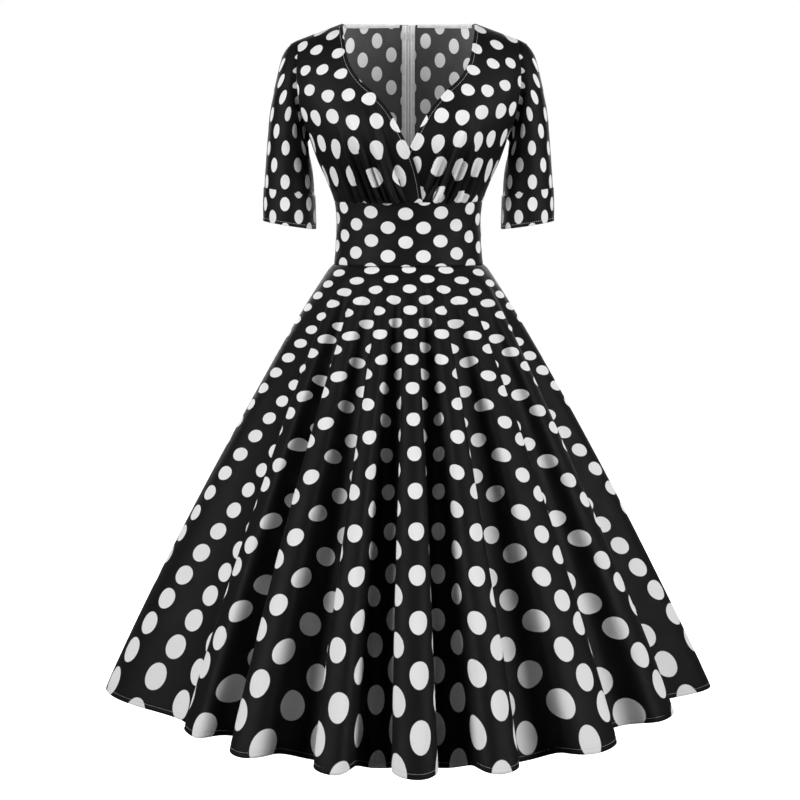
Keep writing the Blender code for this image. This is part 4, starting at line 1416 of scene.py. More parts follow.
# ---- skirt
@dataclass
class Skirt:
    """The flared skirt, cut as part of a ring and hung in deep folds from the band."""

    finishes: Finishes
    figure: Figure = FIGURE
    wall: float = 0.0009
    hem: float = -1.0675
    slant: float = 0.76
    girth: float = 2.0
    fullness: float = 1.05
    side_fullness: float = 0.1
    side_flanks: tuple[int, int] = (0, 15)
    fold_start: float = 0.03
    early_folds: float = 0.26
    trough_drop: float = 0.006
    deeper: float = 0.046
    deep_drop: float = 0.013
    lobe: float = 0.0085
    lobe_at: float = 0.45
    front_from: float = 0.25
    front_whole: float = 0.75
    hem_steps: int = 40
    oval: tuple[float, float] = (0.448, 0.412)
    swell: float = 0.128
    swell_powers: tuple[float, float] = (0.5, 0.8)
    rows: int = 133
    front_columns: int = 330
    back_columns: int = 176
    hem_turn: float = 0.0075
    hem_rows: tuple = (0.93, 1.0, 1.07, 1.2)
    hem_groove: float = 0.0003
    hem_groove_width: float = 0.0012
    hem_fold: float = 0.0007
    hem_fold_width: float = 0.0006
    seam_tuck: float = 0.0006
    seam_width: float = 0.0016
    seam_gap: float = 0.00005
    seam_calm: float = 0.02

    # crest angle in degrees, crest radius, trough angle, trough radius
    folds: tuple = (
        (-94.0, 0.494, -65.0, 0.388),
        (-50.5, 0.411, -45.5, 0.362),
        (-34.5, 0.431, -24.5, 0.384),
        (-13.5, 0.450, -8.5, 0.396),
        (1.5, 0.458, 9.5, 0.396),
        (16.5, 0.451, 26.5, 0.402),
        (40.0, 0.433, 56.0, 0.380),
        (71.5, 0.432, 80.0, 0.388),
        (93.5, 0.4955, 106.0, 0.392),
        (118.5, 0.458, 129.0, 0.374),
        (139.0, 0.452, 149.5, 0.366),
        (159.5, 0.450, 169.5, 0.372),
        (180.0, 0.452, 190.5, 0.372),
        (200.5, 0.450, 211.0, 0.366),
        (221.0, 0.452, 232.0, 0.374),
        (243.0, 0.458, 255.0, 0.394),
    )
    # height, waves round, waves down and start of each small swell
    swells: tuple = (
        (0.00070, 23, 2.1, 0.6),
        (0.00049, 37, -3.3, 2.0),
        (0.00056, 9, 7.0, 4.0),
    )

    swells_whole: float = 0.5
    calm_from: float = 0.8
    hem_calm: float = 0.6

    # share of the way down, half width and half height of a dot
    dots: tuple = (
        (0.00, 0.0102, 0.0064),
        (0.15, 0.0108, 0.0080),
        (0.35, 0.0112, 0.0108),
        (0.60, 0.0135, 0.0146),
        (0.80, 0.0158, 0.0198),
        (1.00, 0.0184, 0.0280),
    )
    even_out: int = 9
    side_wide: float = 0.40
    side_flat: float = 0.12
    side_less: float = 0.6
    side_from: float = 0.15
    side_fade: float = 0.40
    most_pull: float = 1.7
    pull_share: float = 0.7
    pull_whole: float = 0.3
    front_cut: Cut = Cut((1.628, 0.845), Held.HUNG, 0.893)
    back_cut: Cut = Cut((0.815, 0.845), Held.HUNG, 0.447)
    # the cut: part of a ring, in metres and radians
    cut_start: float = 0.1483
    cut_length: float = 0.7634
    cut_angle: float = 4.4155
    # the lattice's ring, as powers of the way down, and its angle as powers of the cut's
    lattice_ring: tuple = (0.1445, 1.0, -0.9865, 0.8942, -0.3688)
    lattice_angle: tuple = (-0.0123, 0.5192, 0.0, -0.06)
    lattice_scale: tuple[float, float] = (34.66, 25.32)
    lattice_start: tuple[float, float] = (0.0629, -3.7763)

    def in_front(self, angle: Array) -> Array:
        """1 in front of the figure, fading to 0 at its sides."""
        return smooth_step((np.cos(angle) - self.front_from) / (self.front_whole - self.front_from))

    def keys(self, deep: bool) -> Array:
        """Crests and troughs of the hem in turn: angle, radius and drop.

        Args:
            deep: Whether the troughs in front reach further in, as they hang.

        Returns:
            One row for each crest or trough, and the first again after a full turn.
        """
        crest_angle, crest_radius, angle, radius = np.array(self.folds).T
        front = self.in_front(np.radians(angle)) * deep
        crest = grid_of(np.radians(crest_angle), crest_radius, 0.0)
        drop = -self.trough_drop - self.deep_drop * front
        trough = grid_of(np.radians(angle), radius - self.deeper * front, drop)
        keys = np.stack([crest, trough], axis=1).reshape(-1, 3)
        return np.vstack([keys, keys[0] + [2 * math.pi, 0, 0]])

    def hem_curve(self, place: Array, deep: bool = False) -> Array:
        """Point of the hem at a place counted in crests and troughs.

        From a crest to the next trough the radius falls as a cosine. The angle grows with
        a sine added, which makes the crest broad and the flank upright. Between them the
        hem rises a little, so each crest ends in a round lobe.

        Args:
            place: Places round the hem.
            deep: Whether the troughs in front reach further in.

        Returns:
            Points.
        """
        keys = self.keys(deep)
        low = np.clip(np.floor(place).astype(int), 0, len(keys) - 2)
        s = place - low
        ease = (1 - np.cos(math.pi * s)) / 2
        fullness = np.where(np.isin(low, self.side_flanks), self.side_fullness, self.fullness)
        turn = s + fullness * np.sin(2 * math.pi * s) / (2 * math.pi)
        now = keys[low] + (keys[low + 1] - keys[low]) * grid_of(turn, ease, ease)
        angle, radius, drop = np.moveaxis(now, -1, 0)
        near = np.where(low % 2 == 0, s, 1 - s) - self.lobe_at
        rise = smooth_step(near / self.lobe_at + 1) * (1 - smooth_step(near / (1 - self.lobe_at)))
        drop = drop + deep * self.in_front(angle) * self.lobe * rise
        return grid_of(radius * np.sin(angle), -radius * np.cos(angle), self.hem + drop)

    def place_of_share(self, share: Array) -> Array:
        """Place on the hem at a share of its length, counted from the centre front.

        Args:
            share: Shares of the way round.

        Returns:
            Places, counted in crests and troughs.
        """
        flanks = 2 * len(self.folds)
        places = np.linspace(0.0, flanks, flanks * self.hem_steps + 1)
        points = self.hem_curve(places)
        run = length_along(points)
        front = run[(np.abs(points[:, 0]) + (points[:, 1] > 0)).argmin()]
        return np.interp(np.mod(share + front / run[-1], 1.0) * run[-1], run, places)

    def waist_ring(self, angle: Array) -> tuple[Array, Array]:
        """x and y of the band's lower edge at a ring angle."""
        half_width, front, back, _ = self.figure.ring_at(np.array(self.figure.band_bottom))
        return half_width * np.sin(angle), -np.where(np.cos(angle) > 0, front, back) * np.cos(angle)

    def waist_point(self, share: Array) -> Array:
        """Point on the band's lower edge at a share of the way round from the centre front.

        Args:
            share: Shares of the way round.

        Returns:
            Points, a seam's gap under the band.
        """
        angle = np.linspace(0.0, 2 * math.pi, 721)
        run = length_along(grid_of(*self.waist_ring(angle)))
        at = np.interp(np.mod(share, 1.0) * run[-1], run, angle)
        return grid_of(*self.waist_ring(at), self.figure.band_bottom - 2 * self.figure.half_gap)

    def surface(self, share: Array, down: Array) -> Array:
        """Point of the skirt at a share of the way round and of the way down.

        Straight threads run from the band to the hem. Under the band the skirt keeps the
        band's oval for a short way, and it swells in front and behind.

        Args:
            share: Shares of the way round.
            down: Shares of the way down.

        Returns:
            Points.
        """
        down = np.asarray(down)[..., None]
        top = self.waist_point(share)
        hem = self.hem_curve(self.place_of_share(share), deep=True)
        wide, deep = self.figure.waist_half_width, self.figure.waist_depth
        turn = np.arctan2(top[..., 0] / wide, -top[..., 1] / deep)
        middle = grid_of(self.oval[0] * np.sin(turn), -self.oval[1] * np.cos(turn), self.hem)
        growth = np.clip((down - self.fold_start) / (1 - self.fold_start), 1e-6, 1.0)
        growth = growth ** (1 - self.early_folds * np.cos(turn)[..., None] ** 2)
        early, late = self.swell_powers
        flare = down + self.swell * down**early * (1 - down) ** late
        out = np.concatenate([flare, flare, down], axis=-1)
        return top + (middle - top) * out + (hem - middle) * growth

    def drape(self, share: Array, down: Array) -> Array:
        """Small uneven swells of the cloth, a sum of sines that grow towards the hem.

        Args:
            share: Shares of the way round.
            down: Shares of the way down.

        Returns:
            Metres off the surface.
        """
        turn = 2 * math.pi * share
        waves = sum(size * np.sin(a * turn + d * down + w) for size, a, d, w in self.swells)
        calm = self.hem_calm * smooth_step((down - self.calm_from) / (1 - self.calm_from))
        return waves * smooth_step(down / self.swells_whole) * (1 - calm)

    def panel(self, start: float, end: float, columns: int) -> tuple[Array, Array, Array, Array, Array]:
        """Shares, outer points, normals and wall of a panel between two shares.

        Args:
            start: First share of the way round.
            end: Last share.
            columns: Number of columns.

        Returns:
            Shares round, shares down, points, normals and wall.
        """
        turned = 1 - self.hem_turn / self.slant * np.array(self.hem_rows)
        down = np.unique(np.concatenate([fine_ends(self.rows, self.slant, end=False), turned]))
        even = fine_ends(columns, (end - start) * self.girth)
        down, even = np.meshgrid(down, even, indexing="ij")
        radius = self.figure.waist_depth + (self.oval[1] - self.figure.waist_depth) * down
        edge = self.seam_gap / (2 * math.pi * radius)
        share = start + edge + (end - start - 2 * edge) * even
        points = self.surface(share, down)
        normals = grid_normals(points)
        aside = np.minimum(distance(points, points[:, :1]), distance(points, points[:, -1:]))
        seam = np.minimum(distance(points, points[:1]), aside)
        above = (1 - down) * self.slant - self.hem_turn
        lift = self.drape(share, down) * smooth_step(aside / self.seam_calm)
        lift = lift - self.seam_tuck * bell(seam, self.seam_width)
        lift = lift - self.hem_groove * bell(above, self.hem_groove_width)
        wall = self.wall + self.hem_fold * smooth_step(-above / self.hem_fold_width)
        return share, down, points + normals * lift[..., None], normals, wall

    def printed(self, share: Array, down: Array, points: Array) -> Print:
        """Dots of the skirt, on a lattice that is flat in the cut cloth and grows downwards.

        The cut is part of a ring. The lattice is laid on a narrower ring: its radius is a
        quartic of the way down, so rows spread towards the hem, and its angle is about
        half of the cut's, so columns spread with them.

        Args:
            share: Shares of the way round from the middle of the cut.
            down: Shares of the way down.
            points: The panel's points, whose true width keeps the dots from stretching.

        Returns:
            The print.
        """
        turn = share * self.cut_angle
        radius = self.cut_start + self.cut_length * down
        ring = np.polynomial.polynomial.polyval(down, self.lattice_ring)
        angle = np.polynomial.polynomial.polyval(turn, self.lattice_angle)
        place = grid_of(ring * np.sin(angle), ring * np.cos(angle))
        place = place * self.lattice_scale + self.lattice_start
        half = smooth_table(self.dots, down)[..., 1:]
        fade = 1 - self.side_less * smooth_step((down - self.side_from) / self.side_fade)
        aside = np.abs(np.sin(2 * math.pi * share)) * fade
        half = half * grid_of(1 + self.side_wide * aside, 1 - self.side_flat * aside)
        width = radius * np.gradient(turn, axis=1)
        pull = np.linalg.norm(np.gradient(points, axis=1), axis=-1) / np.abs(width)
        pull = averaged(np.clip(pull, 1.0, self.most_pull), self.even_out)
        half[..., 0] /= 1 + self.pull_share * (pull - 1) * smooth_step(down / self.pull_whole)
        steps = grid_of(grid_of(0.0, np.gradient(radius, axis=0)), grid_of(width, 0.0))
        grain = grid_of(radius * np.sin(turn), radius * np.cos(turn))
        return Print(place, dot_shape(place, steps, half), grain)

    def build(self) -> None:
        """Make the front and the two backs, each a stretch of the way round."""
        top = (FAR, FAR, self.figure.band_bottom - 2 * self.figure.half_gap)
        for name, node, start, end, columns, middle, cut in (
            ("skirt_front_panel", "skirt_front", -0.25, 0.25, self.front_columns, 0.0, self.front_cut),
            ("skirt_left_panel", "skirt_back_left", 0.25, 0.5, self.back_columns, 0.5, self.back_cut),
            ("skirt_right_panel", "skirt_back_right", -0.5, -0.25, self.back_columns, -0.5, self.back_cut),
        ):
            share, down, points, normals, wall = self.panel(start, end, columns)
            patch = Patch(points, normals, self.printed(share - middle, down, points))
            sew(Shell(name, patch, wall, high=top), node, cut, self.finishes.cotton)


# ---- sleeves
@dataclass
class Sleeves:
    """Half sleeves, each a tube from its armhole, with a turned-back cuff."""

    finishes: Finishes
    figure: Figure = FIGURE
    wall: float = 0.0010
    turns: int = 132
    rows: int = 84
    length: float = 0.25
    seam_gap: float = 0.0006
    seam_fade: float = 0.35
    seam_dip: float = 0.0004
    seam_width: float = 0.0016
    soft: float = 0.0009
    soft_waves: tuple[float, float] = (3.0, 11.0)
    arm_back: float = 0.002
    cuff_rows: int = 34
    cuff_wall: float = 0.0012
    cuff_height: float = 0.0515
    cuff_spread: float = 0.0012
    cuff_clearance: float = 0.0005
    cuff_lap: float = 0.004
    cuff_edge: tuple[float, float] = (0.0004, 0.0009)
    stitch_groove: tuple[float, float] = (0.00025, 0.0010)
    stitch_inset: float = 0.0042
    dots: Dots = Dots((0.0074, 0.0112), (0.0440, 0.0520), (-0.004, 0.0410))
    cuff_dots: Dots = Dots((0.0078, 0.0108), (0.0457, 0.0395), (-0.004, 0.2830))
    cut: Cut = Cut((0.33, 0.26), Held.HUNG, 0.055)
    cuff_cut: Cut = Cut((0.335, 0.0515), Held.FOLDED)

    # outer x, outer z, inner x, inner z, half depth
    sections: tuple = (
        (0.1745, -0.0310, 0.1560, -0.1835, 0.048),
        (0.1880, -0.0400, 0.1575, -0.1860, 0.050),
        (0.1970, -0.0560, 0.1580, -0.1890, 0.052),
        (0.2050, -0.0820, 0.1580, -0.1930, 0.054),
        (0.2115, -0.1120, 0.1570, -0.1990, 0.055),
        (0.2170, -0.1490, 0.1550, -0.2080, 0.055),
        (0.2210, -0.1900, 0.1515, -0.2250, 0.055),
        (0.2245, -0.2250, 0.1490, -0.2480, 0.055),
        (0.2265, -0.2620, 0.1480, -0.2750, 0.055),
    )

    def ring_angles(self) -> Array:
        """Angles round a ring, 0 at the outer edge."""
        return np.linspace(-math.pi, math.pi, self.turns, endpoint=False)

    def ring(self, share: Array, turns: Array) -> Array:
        """Rings of the sleeve: ovals between its outer and inner edge.

        Args:
            share: Shares of the sleeve's length.
            turns: Angles round a ring.

        Returns:
            A grid of points, one row for each share.
        """
        rows = np.column_stack([np.linspace(0, 1, len(self.sections)), self.sections])
        table = smooth_table(rows, np.atleast_1d(share))
        outer, inner, depth = table[:, None, 1:3], table[:, None, 3:5], table[:, 5, None]
        edge = (outer + inner) / 2 + (outer - inner) / 2 * np.cos(turns)[None, :, None]
        return grid_of(edge[..., 0], self.arm_back - depth * np.sin(turns), edge[..., 1])

    def armhole_loop(self, turns: Array) -> Array:
        """Points of the armhole, from the shoulder round the front to the underarm and up."""
        loops = [self.figure.at(*self.figure.armhole(np.abs(turns), side), side) for side in Side]
        return np.where((turns >= 0)[:, None], *loops)

    def sleeve(self) -> Patch:
        """Outer face of the sleeve at +X.

        Its first ring follows the armhole, and the difference fades out in the first third.
        The cloth dips beside the seam and swells softly, as sines round it and along it.

        Returns:
            The patch.
        """
        turns = self.ring_angles()
        share = fine_ends(self.rows, self.length, end=False)[:, None]
        shift = self.armhole_loop(turns) + [self.seam_gap, 0.0, 0.0] - self.ring(0.0, turns)[0]
        fade = 1 - smooth_step(share / self.seam_fade)
        points = self.ring(share[:, 0], turns) + shift * fade[..., None]
        normals = -grid_normals(points, ring=True)
        normals[0, :, 0] = 0.0
        normals = unit(normals)
        dip = self.seam_dip * bell(distance(points, points[:1]), self.seam_width)
        dip[0] = 0.0
        round_it, down_it = self.soft_waves
        soft = self.soft * np.sin(round_it * turns + down_it * share) * np.sin(math.pi * share) ** 2
        points = points + normals * (soft - dip)[..., None]
        return Patch(points, normals, self.dots.on(*self.unrolled(points)))

    def unrolled(self, points: Array) -> tuple[Array, Array]:
        """Metres round each ring from its front, with the first column repeated at the end.

        Metres down are measured along each column, up from the lowest ring.

        Args:
            points: Rings of points.

        Returns:
            Metres round and metres down.
        """
        closed = np.concatenate([points, points[:, :1]], axis=1)
        run = np.stack([length_along(ring) for ring in closed])
        front = int(np.argmin(points[-1, :, 1]))
        rise = np.stack([length_along(column) for column in closed[::-1].swapaxes(0, 1)], axis=1)
        return run - run[:, front : front + 1], -closed[-1:, :, 2] - rise[::-1]

    def cuff(self) -> Patch:
        """Outer face of the cuff at +X, a straight tube with a groove under its stitches.

        Returns:
            The patch.
        """
        end = self.ring(1.0, self.ring_angles())[0]
        outward = unit((end - end.mean(axis=0)) * [1.0, 1.0, 0.0])
        top = end + outward * (self.cuff_clearance + CAD_WALL) + [0.0, 0.0, self.cuff_lap]
        low = top + outward * self.cuff_spread
        low[:, 2] = top[:, 2] - self.cuff_height
        down = fine_ends(self.cuff_rows, self.cuff_height)[:, None, None]
        points = top + (low - top) * down
        normals = -grid_normals(points, ring=True)
        near = np.minimum(down, 1 - down) * self.cuff_height
        edge, groove = self.cuff_edge, self.stitch_groove
        dip = edge[0] * bell(near, edge[1]) + groove[0] * bell(near - self.stitch_inset, groove[1])
        points = points - normals * dip
        return Patch(points, normals, self.cuff_dots.on(*self.unrolled(points)))

    def build(self) -> None:
        """Make both sleeves and both cuffs."""
        for part, patch, wall, cut in (
            ("sleeve", self.sleeve(), self.wall, self.cut),
            ("cuff", self.cuff(), self.cuff_wall, self.cuff_cut),
        ):
            left = Shell(f"left_{part}_cloth", patch, wall, ring=True, flip=True)
            right = Shell(f"right_{part}_cloth", patch.mirrored(), wall, ring=True)
            sew(left, f"{part}_left", cut, self.finishes.cotton)
            sew(right, f"{part}_right", cut, self.finishes.cotton)


# ---- sewing thread
@dataclass
class Stitching:
    """Rows of small white stitches that lie on the cloth."""

    finishes: Finishes
    bodice: Bodice
    skirt: Skirt
    sleeves: Sleeves
    length: float = 0.0026
    pitch: float = 0.0034
    half_width: float = 0.00026
    half_height: float = 0.00020
    neck_steps: int = 600
    neck_inset: float = 0.0052
    neck_lift: float = 0.00008
    neck_top: float = -0.010
    neck_foot: float = 0.002
    hem_steps: int = 3000
    hem_above: float = 0.002
    hem_sink: float = 0.0001

    # share of a stitch's length, girth, rise in half heights
    rings: tuple = ((-0.5, 0.35, -0.6), (-0.32, 1.0, 0.35), (0.32, 1.0, 0.35), (0.5, 0.35, -0.6))

    def row(self, name: str, points: Array, normals: Array) -> None:
        """Lay stitches along a line: each a short rod of four sides with tapered ends.

        Args:
            name: Name of the piece.
            points: Points of the line.
            normals: Unit normals of the cloth at those points.
        """
        path, ups = even_path(points, normals, self.pitch)
        along, up = unit(path[1:] - path[:-1]), unit(ups[1:] + ups[:-1])
        station, girth, rise = np.array(self.rings).T[..., None]
        turn = np.radians([45, 135, 225, 315])
        rings = grid_of(
            np.cos(turn) * girth * self.half_width, (np.sin(turn) * girth + rise) * self.half_height
        )
        axes = (along, np.cross(up, along), up)
        centres = (path[:-1] + path[1:]) / 2
        made = rods(name, centres, axes, station[:, 0] * self.length, rings, self.finishes.thread)

    def neck_line(self, over: bool) -> tuple[Array, Array]:
        """Line of the stitches inside a front's neck edge.

        The neckline is moved square to itself, seen from the front, and put on the cloth.

        Args:
            over: Whether this is the front on top.

        Returns:
            Points and normals, for the side at +X.
        """
        figure = self.bodice.figure
        flat = grid_of(*self.bodice.front_edge(self.neck_steps))
        tangent = unit(np.gradient(flat, axis=0))
        x, z = (flat + self.neck_inset * tangent[:, ::-1] * [1.0, -1.0]).T
        keep = (z > figure.band_top + self.neck_foot) & (z < self.neck_top)
        x, z = x[keep], z[keep]
        angle = figure.angle_of(x, z)
        normals = figure.normals(angle, z, Side.FRONT)
        lift = self.bodice.lift_at(x, z, angle, over) + self.neck_lift
        return figure.at(angle, z, Side.FRONT) + normals * lift[:, None], normals

    def hem_line(self) -> tuple[Array, Array]:
        """Line of the stitches at the top of the hem's turning.

        Returns:
            Points and normals.
        """
        down = 1 - self.skirt.hem_turn / self.skirt.slant
        share = np.linspace(-0.5, 0.5, self.hem_steps)
        down, share = np.meshgrid([down - self.hem_above, down], share, indexing="ij")
        grid = self.skirt.surface(share, down)
        normals = grid_normals(grid)[1]
        return grid[1] - normals * self.hem_sink, normals

    def cuff_line(self) -> tuple[Array, Array]:
        """Line of the stitches near the lower edge of the cuff at +X.

        Returns:
            Points and normals.
        """
        cuff = self.sleeves.cuff()
        height = cuff.points[:, 0, 2] - cuff.points[-1, 0, 2]
        level = int(np.argmin(np.abs(height - self.sleeves.stitch_inset)))
        return tuple(np.vstack([grid[level], grid[level, :1]]) for grid in (cuff.points, cuff.normals))

    def build(self) -> None:
        """Sew the neck edges, the hem and the cuffs."""
        cuff = self.cuff_line()
        self.row("stitches_over_neck", *map(mirrored, self.neck_line(True)))
        self.row("stitches_under_neck", *self.neck_line(False))
        self.row("stitches_hem", *self.hem_line())
        self.row("stitches_left_cuff", *cuff)
        self.row("stitches_right_cuff", *map(mirrored, cuff))


# ---- zip
@dataclass
class Zip:
    """Centre-back zip seen from inside: two tapes, the coil, and tape inside the neck."""

    finishes: Finishes
    skirt: Skirt
    bodice: Bodice
    figure: Figure = FIGURE
    clearance: float = 0.0011
    top: float = -0.0009
    skirt_top: float = 0.02
    skirt_rows: int = 50
    beside: float = 0.001
    tape_edges: tuple[float, float] = (0.0003, 0.0102)
    tape_wall: float = 0.0008
    tape_rows: int = 150
    tape_columns: int = 11
    tape_bottom: float = 0.20
    tape_cut: Cut = Cut((0.0115, 0.535), Held.HUNG, 0.0049)
    bridge_z: float = -0.0160
    bridge_tall: float = 0.0030
    bridge_wide: float = 0.0008
    coil_top: float = -0.0255
    coil_bottom: float = 0.12
    coil_rows: int = 200
    coil_pitch: float = 0.0011
    coil_out: float = 0.0008
    loop_shift: float = 0.00028
    loop_reach: float = 0.00150
    loop_half_width: float = 0.00046
    loop_half_height: float = 0.00072
    neck_tape_height: float = 0.0032
    neck_tape_down: float = -0.0006
    neck_tape_start: float = 0.0125
    neck_tape_end: int = 39
    neck_tape_rows: int = 11
    neck_clearance: float = 0.0004
    neck_cut: Cut = Cut((0.092, 0.0105), Held.FOLDED, 0.0008)

    # height, middle and width of the tape's ribs, both as shares of its width
    ribs: tuple = ((0.0009, 0.15, 0.09), (-0.0001, 0.6, 0.07))
    # share of a loop's reach, girth
    loop_rings: tuple = ((-1.0, 0.55), (-0.72, 1.0), (0.72, 1.0), (1.0, 0.55))

    def strip(self, offsets: Array, top: float, rows: int, bottom: float) -> Array:
        """Outer points of the centre back, at offsets from the seam.

        Args:
            offsets: Metres from the seam towards the wearer's left.
            top: Height of the first row.
            rows: Rows from there to the foot of the band.
            bottom: Share of the skirt's length at the last row.

        Returns:
            A grid of points.
        """
        x, z = np.meshgrid(offsets, np.linspace(top, self.figure.band_bottom, rows))
        upper = self.figure.at(self.figure.angle_of(x, z), z, Side.BACK)
        downs = np.linspace(self.skirt_top, bottom, self.skirt_rows)[:, None]
        pair = self.skirt.surface(*np.broadcast_arrays([0.5, 0.5 - self.beside], downs))
        speed = distance(pair[:, 0], pair[:, 1])[:, None] / self.beside
        lower = self.skirt.surface(*np.broadcast_arrays(0.5 - offsets / speed, downs))
        return np.concatenate([upper, lower])

    def inward(self, points: Array, metres: Array | float) -> Array:
        """The grid moved towards the wearer. Its columns run clockwise seen from above."""
        return points + metres * grid_normals(points)

    def tape(
        self, name: str, node: str, cut: Cut, points: Array, flip: bool = True, out: Array | float = 0.0
    ) -> None:
        """Make a tape from its outer points.

        Args:
            name: Name of the piece.
            node: CAD node that it replaces.
            cut: Its flat cut.
            points: Outer points.
            flip: Whether the columns run clockwise seen from above.
            out: Millimetres of each column from the zip's middle, for the lines of the finish.
        """
        across = np.stack([length_along(row) for row in points])
        along = np.stack([length_along(column) for column in points.swapaxes(0, 1)], axis=1)
        plain = Print(grid_of(out, along), np.ones(points.shape), grid_of(across, along))
        patch = Patch(points, grid_normals(points) * (-1 if flip else 1), plain)
        sew(Shell(name, patch, self.tape_wall, flip=flip), node, cut, self.finishes.tape)

    def tapes(self) -> None:
        """Two tapes beside the coil, each with a raised edge next to it."""
        first, last = self.tape_edges
        for sign, side in ((1.0, "left"), (-1.0, "right")):
            offsets = np.sort(np.linspace(first, last, self.tape_columns) * sign)
            points = self.strip(offsets, self.top, self.tape_rows, self.tape_bottom)
            points = self.inward(points, CAD_WALL + self.clearance)
            share = (np.abs(offsets) - first) / (last - first)
            near = np.exp(-(((points[..., 2] - self.bridge_z) / self.bridge_tall) ** 4))
            points[..., 0] += sign * self.bridge_wide * near * (1 - share)
            rib = sum(height * bell(share - middle, width) for height, middle, width in self.ribs)
            points = self.inward(points, rib[None, :, None])
            out = np.abs(offsets) / MM
            self.tape(f"zip_{side}_tape", f"zip_tape_{side}", self.tape_cut, points, out=out)

    def coil(self) -> None:
        """The closed coil: rounded loops that reach across in turn from left and right."""
        line = np.array([-self.beside, 0.0, self.beside])
        line = self.strip(line, self.coil_top, self.coil_rows, self.coil_bottom)
        line = self.inward(line, CAD_WALL + self.clearance + self.coil_out)
        path, ups = even_path(line[:, 1], grid_normals(line)[:, 1], self.coil_pitch)
        sign = np.where(np.arange(len(path)) % 2 == 0, 1.0, -1.0)
        centres = path + np.outer(sign * self.loop_shift, [1.0, 0.0, 0.0])
        aside = np.tile([1.0, 0.0, 0.0], (len(path), 1))
        reach, girth = np.array(self.loop_rings).T[..., None]
        turn = np.radians([0, 60, 120, 180, 240, 300])
        wide, tall = np.cos(turn) * self.loop_half_width, np.sin(turn) * self.loop_half_height
        rings = grid_of(wide * girth, tall * girth)
        axes = (aside, np.cross(ups, aside), ups)
        made = rods(
            "zip_coil_loops", centres, axes, reach[:, 0] * self.loop_reach, rings, self.finishes.coil
        )
        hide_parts("zip_coil")

    def neck_tapes(self) -> None:
        """Narrow tape inside the back neck edge, made from the back's own points."""
        neck = self.bodice.back(self.bodice.left_back_dots).points[:, : self.neck_tape_end]
        start = int(np.searchsorted(neck[0, :, 0], self.neck_tape_start))
        wanted = np.linspace(self.neck_tape_down, self.neck_tape_height, self.neck_tape_rows)
        columns = [
            grid_of(*(np.interp(wanted, column[0, 2] - column[:, 2], axis) for axis in column.T))
            for column in neck[:, start:].swapaxes(0, 1)
        ]
        strip = np.stack(columns, axis=1)
        strip[..., 2] -= np.minimum(wanted, 0.0)[:, None]
        strip = self.inward(strip, CAD_WALL + self.neck_clearance)
        self.tape("neck_left_tape", "back_neck_tape_left", self.neck_cut, strip)
        self.tape("neck_right_tape", "back_neck_tape_right", self.neck_cut, mirrored(strip), flip=False)

    def build(self) -> None:
        """Make the tapes and the coil, and finish the metal parts of the CAD."""
        self.tapes()
        self.coil()
        self.neck_tapes()
        for node in ("zip_slider", "zip_pull", "zip_bottom_stop"):
            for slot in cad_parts[node].material_slots:
                slot.material = self.finishes.metal
            LOG.info("%s: finished in metal", node)


# ---- studio
@dataclass(frozen=True)
class SoftBox:
    """An area light that looks at a point. A name with braces, for the side, makes a pair."""

    name: str
    at: tuple[float, float, float]
    aim: tuple[float, float, float]
    size: tuple[float, float]
    watts: float
    spread: float = math.pi

    def build(self) -> None:
        """Add the light at its place, or both lights of a pair."""
        for side, sign in (("left", -1), ("right", 1)) if "{}" in self.name else (("", 1),):
            light = bpy.data.lights.new(self.name.format(side), "AREA")
            light.use_shadow = True
            light.shape = "RECTANGLE"
            light.size, light.size_y = self.size
            light.energy = self.watts
            light.spread = self.spread
            made = bpy.data.objects.new(light.name, light)
            bpy.context.scene.collection.objects.link(made)
            made.location = (sign * self.at[0], *self.at[1:])
            way = np.array(self.aim) - np.array(self.at) * [sign, 1, 1]
            tilt = math.atan2(math.hypot(way[0], way[1]), -way[2])
            made.rotation_euler = (tilt, 0.0, math.pi + math.atan2(way[0], -way[1]))
            made.visible_camera = False


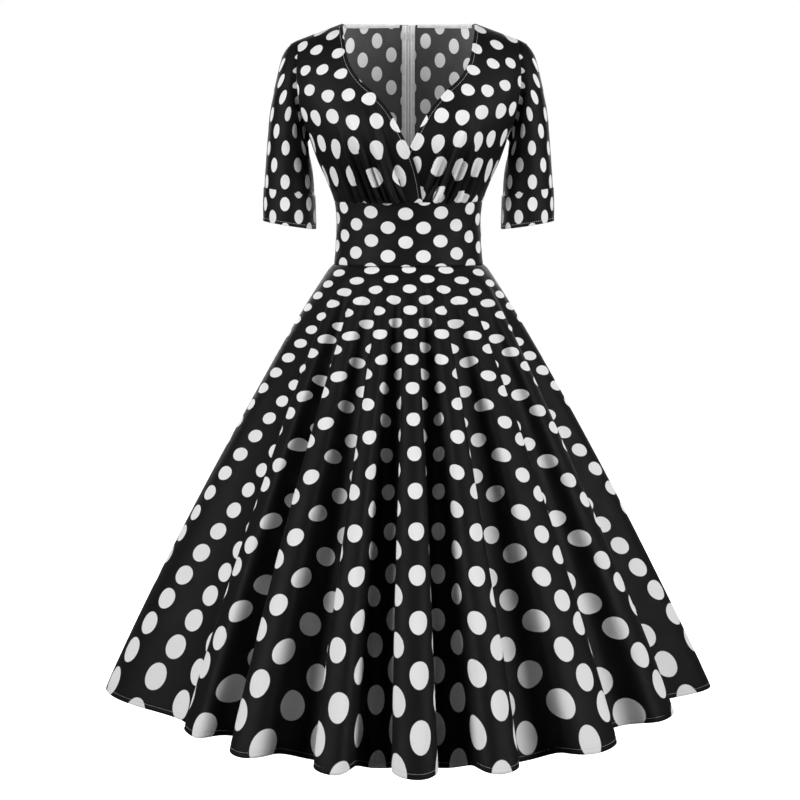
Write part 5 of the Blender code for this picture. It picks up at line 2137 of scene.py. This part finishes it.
@dataclass
class Studio:
    """Pale floor, two tall soft boxes, two behind, weak fills and the camera."""

    floor_z: float = -1.42
    floor_glow: float = 1.1
    ambient: float = 0.04
    camera_at: tuple[float, float, float] = (-0.0135, -3.0, -0.2307)
    camera_tilt: float = math.radians(83.094)
    lens: float = 85.46
    boxes: tuple = (
        SoftBox("{}_box", (3.2, -2.1, 0.7), (0.0, 0.0, -0.05), (1.8, 2.6), 36.5, 1.45),
        SoftBox("back_{}_box", (1.3, 3.0, 0.5), (0.0, 0.0, -0.55), (1.2, 2.0), 50.0),
        SoftBox("front_fill", (0.0, -3.6, 1.3), (0.0, 0.0, -0.55), (1.6, 1.0), 1.5),
        SoftBox("neck_{}_glow", (0.118, -0.030, -0.085), (0.0, 0.095, -0.055), (0.02, 0.12), 0.066),
    )

    def world(self) -> None:
        """White behind the dress, and a weak grey light from all round."""
        world = bpy.data.worlds.new("studio")
        bpy.context.scene.world = world
        world.use_nodes = True
        tree = world.node_tree
        shown = tree.nodes["Background"]
        shown.inputs["Color"].default_value = grey(1.0)
        dim = tree.nodes.new("ShaderNodeBackground")
        dim.inputs["Color"].default_value = grey(self.ambient)
        ray = tree.nodes.new("ShaderNodeLightPath")
        mix = tree.nodes.new("ShaderNodeMixShader")
        tree.links.new(ray.outputs["Is Camera Ray"], mix.inputs[0])
        tree.links.new(dim.outputs[0], mix.inputs[1])
        tree.links.new(shown.outputs[0], mix.inputs[2])
        tree.links.new(mix.outputs[0], tree.nodes["World Output"].inputs[0])

    def floor(self) -> None:
        """A wide pale floor, bright enough to run into the white behind it."""
        corners = np.array([[-1, -1], [1, -1], [1, 1], [-1, 1]]) * FAR
        bench = Bench("pale_floor")
        bench.surface(
            Base_Color=grey(0.9),
            Emission_Color=grey(1.0),
            Roughness=0.9,
            Emission_Strength=self.floor_glow,
        )
        points = np.insert(corners, 2, self.floor_z, axis=1)
        made = mesh_object("studio_floor", points, np.array([[0, 1, 2, 3]]), (bench.material,))
        made.visible_diffuse = False
        made.visible_glossy = False

    def camera(self) -> None:
        """The camera, level with the chest and turned a little down."""
        data = bpy.data.cameras.new("view")
        data.lens = self.lens
        data.sensor_width = 36.0
        made = bpy.data.objects.new("view", data)
        bpy.context.scene.collection.objects.link(made)
        made.location = self.camera_at
        made.rotation_euler = (self.camera_tilt, 0.0, 0.0)
        bpy.context.scene.camera = made

    def build(self) -> None:
        """Set up the camera, the world, the floor and the lights."""
        self.camera()
        self.world()
        self.floor()
        for box in self.boxes:
            box.build()
        bpy.context.scene.view_settings.view_transform = "Standard"
        bpy.context.scene.view_settings.look = "None"


# ---- all of it
def main() -> None:
    """Build the studio and every part of the dress."""
    logging.basicConfig(level=logging.INFO, format="%(message)s", stream=sys.stdout)
    Studio().build()
    finishes = Finishes()
    bodice, skirt, sleeves = Bodice(finishes), Skirt(finishes), Sleeves(finishes)
    for part in (
        bodice,
        Midriff(finishes),
        skirt,
        sleeves,
        Stitching(finishes, bodice, skirt, sleeves),
        Zip(finishes, skirt, bodice),
    ):
        part.build()


if __name__ == "__main__":
    main()
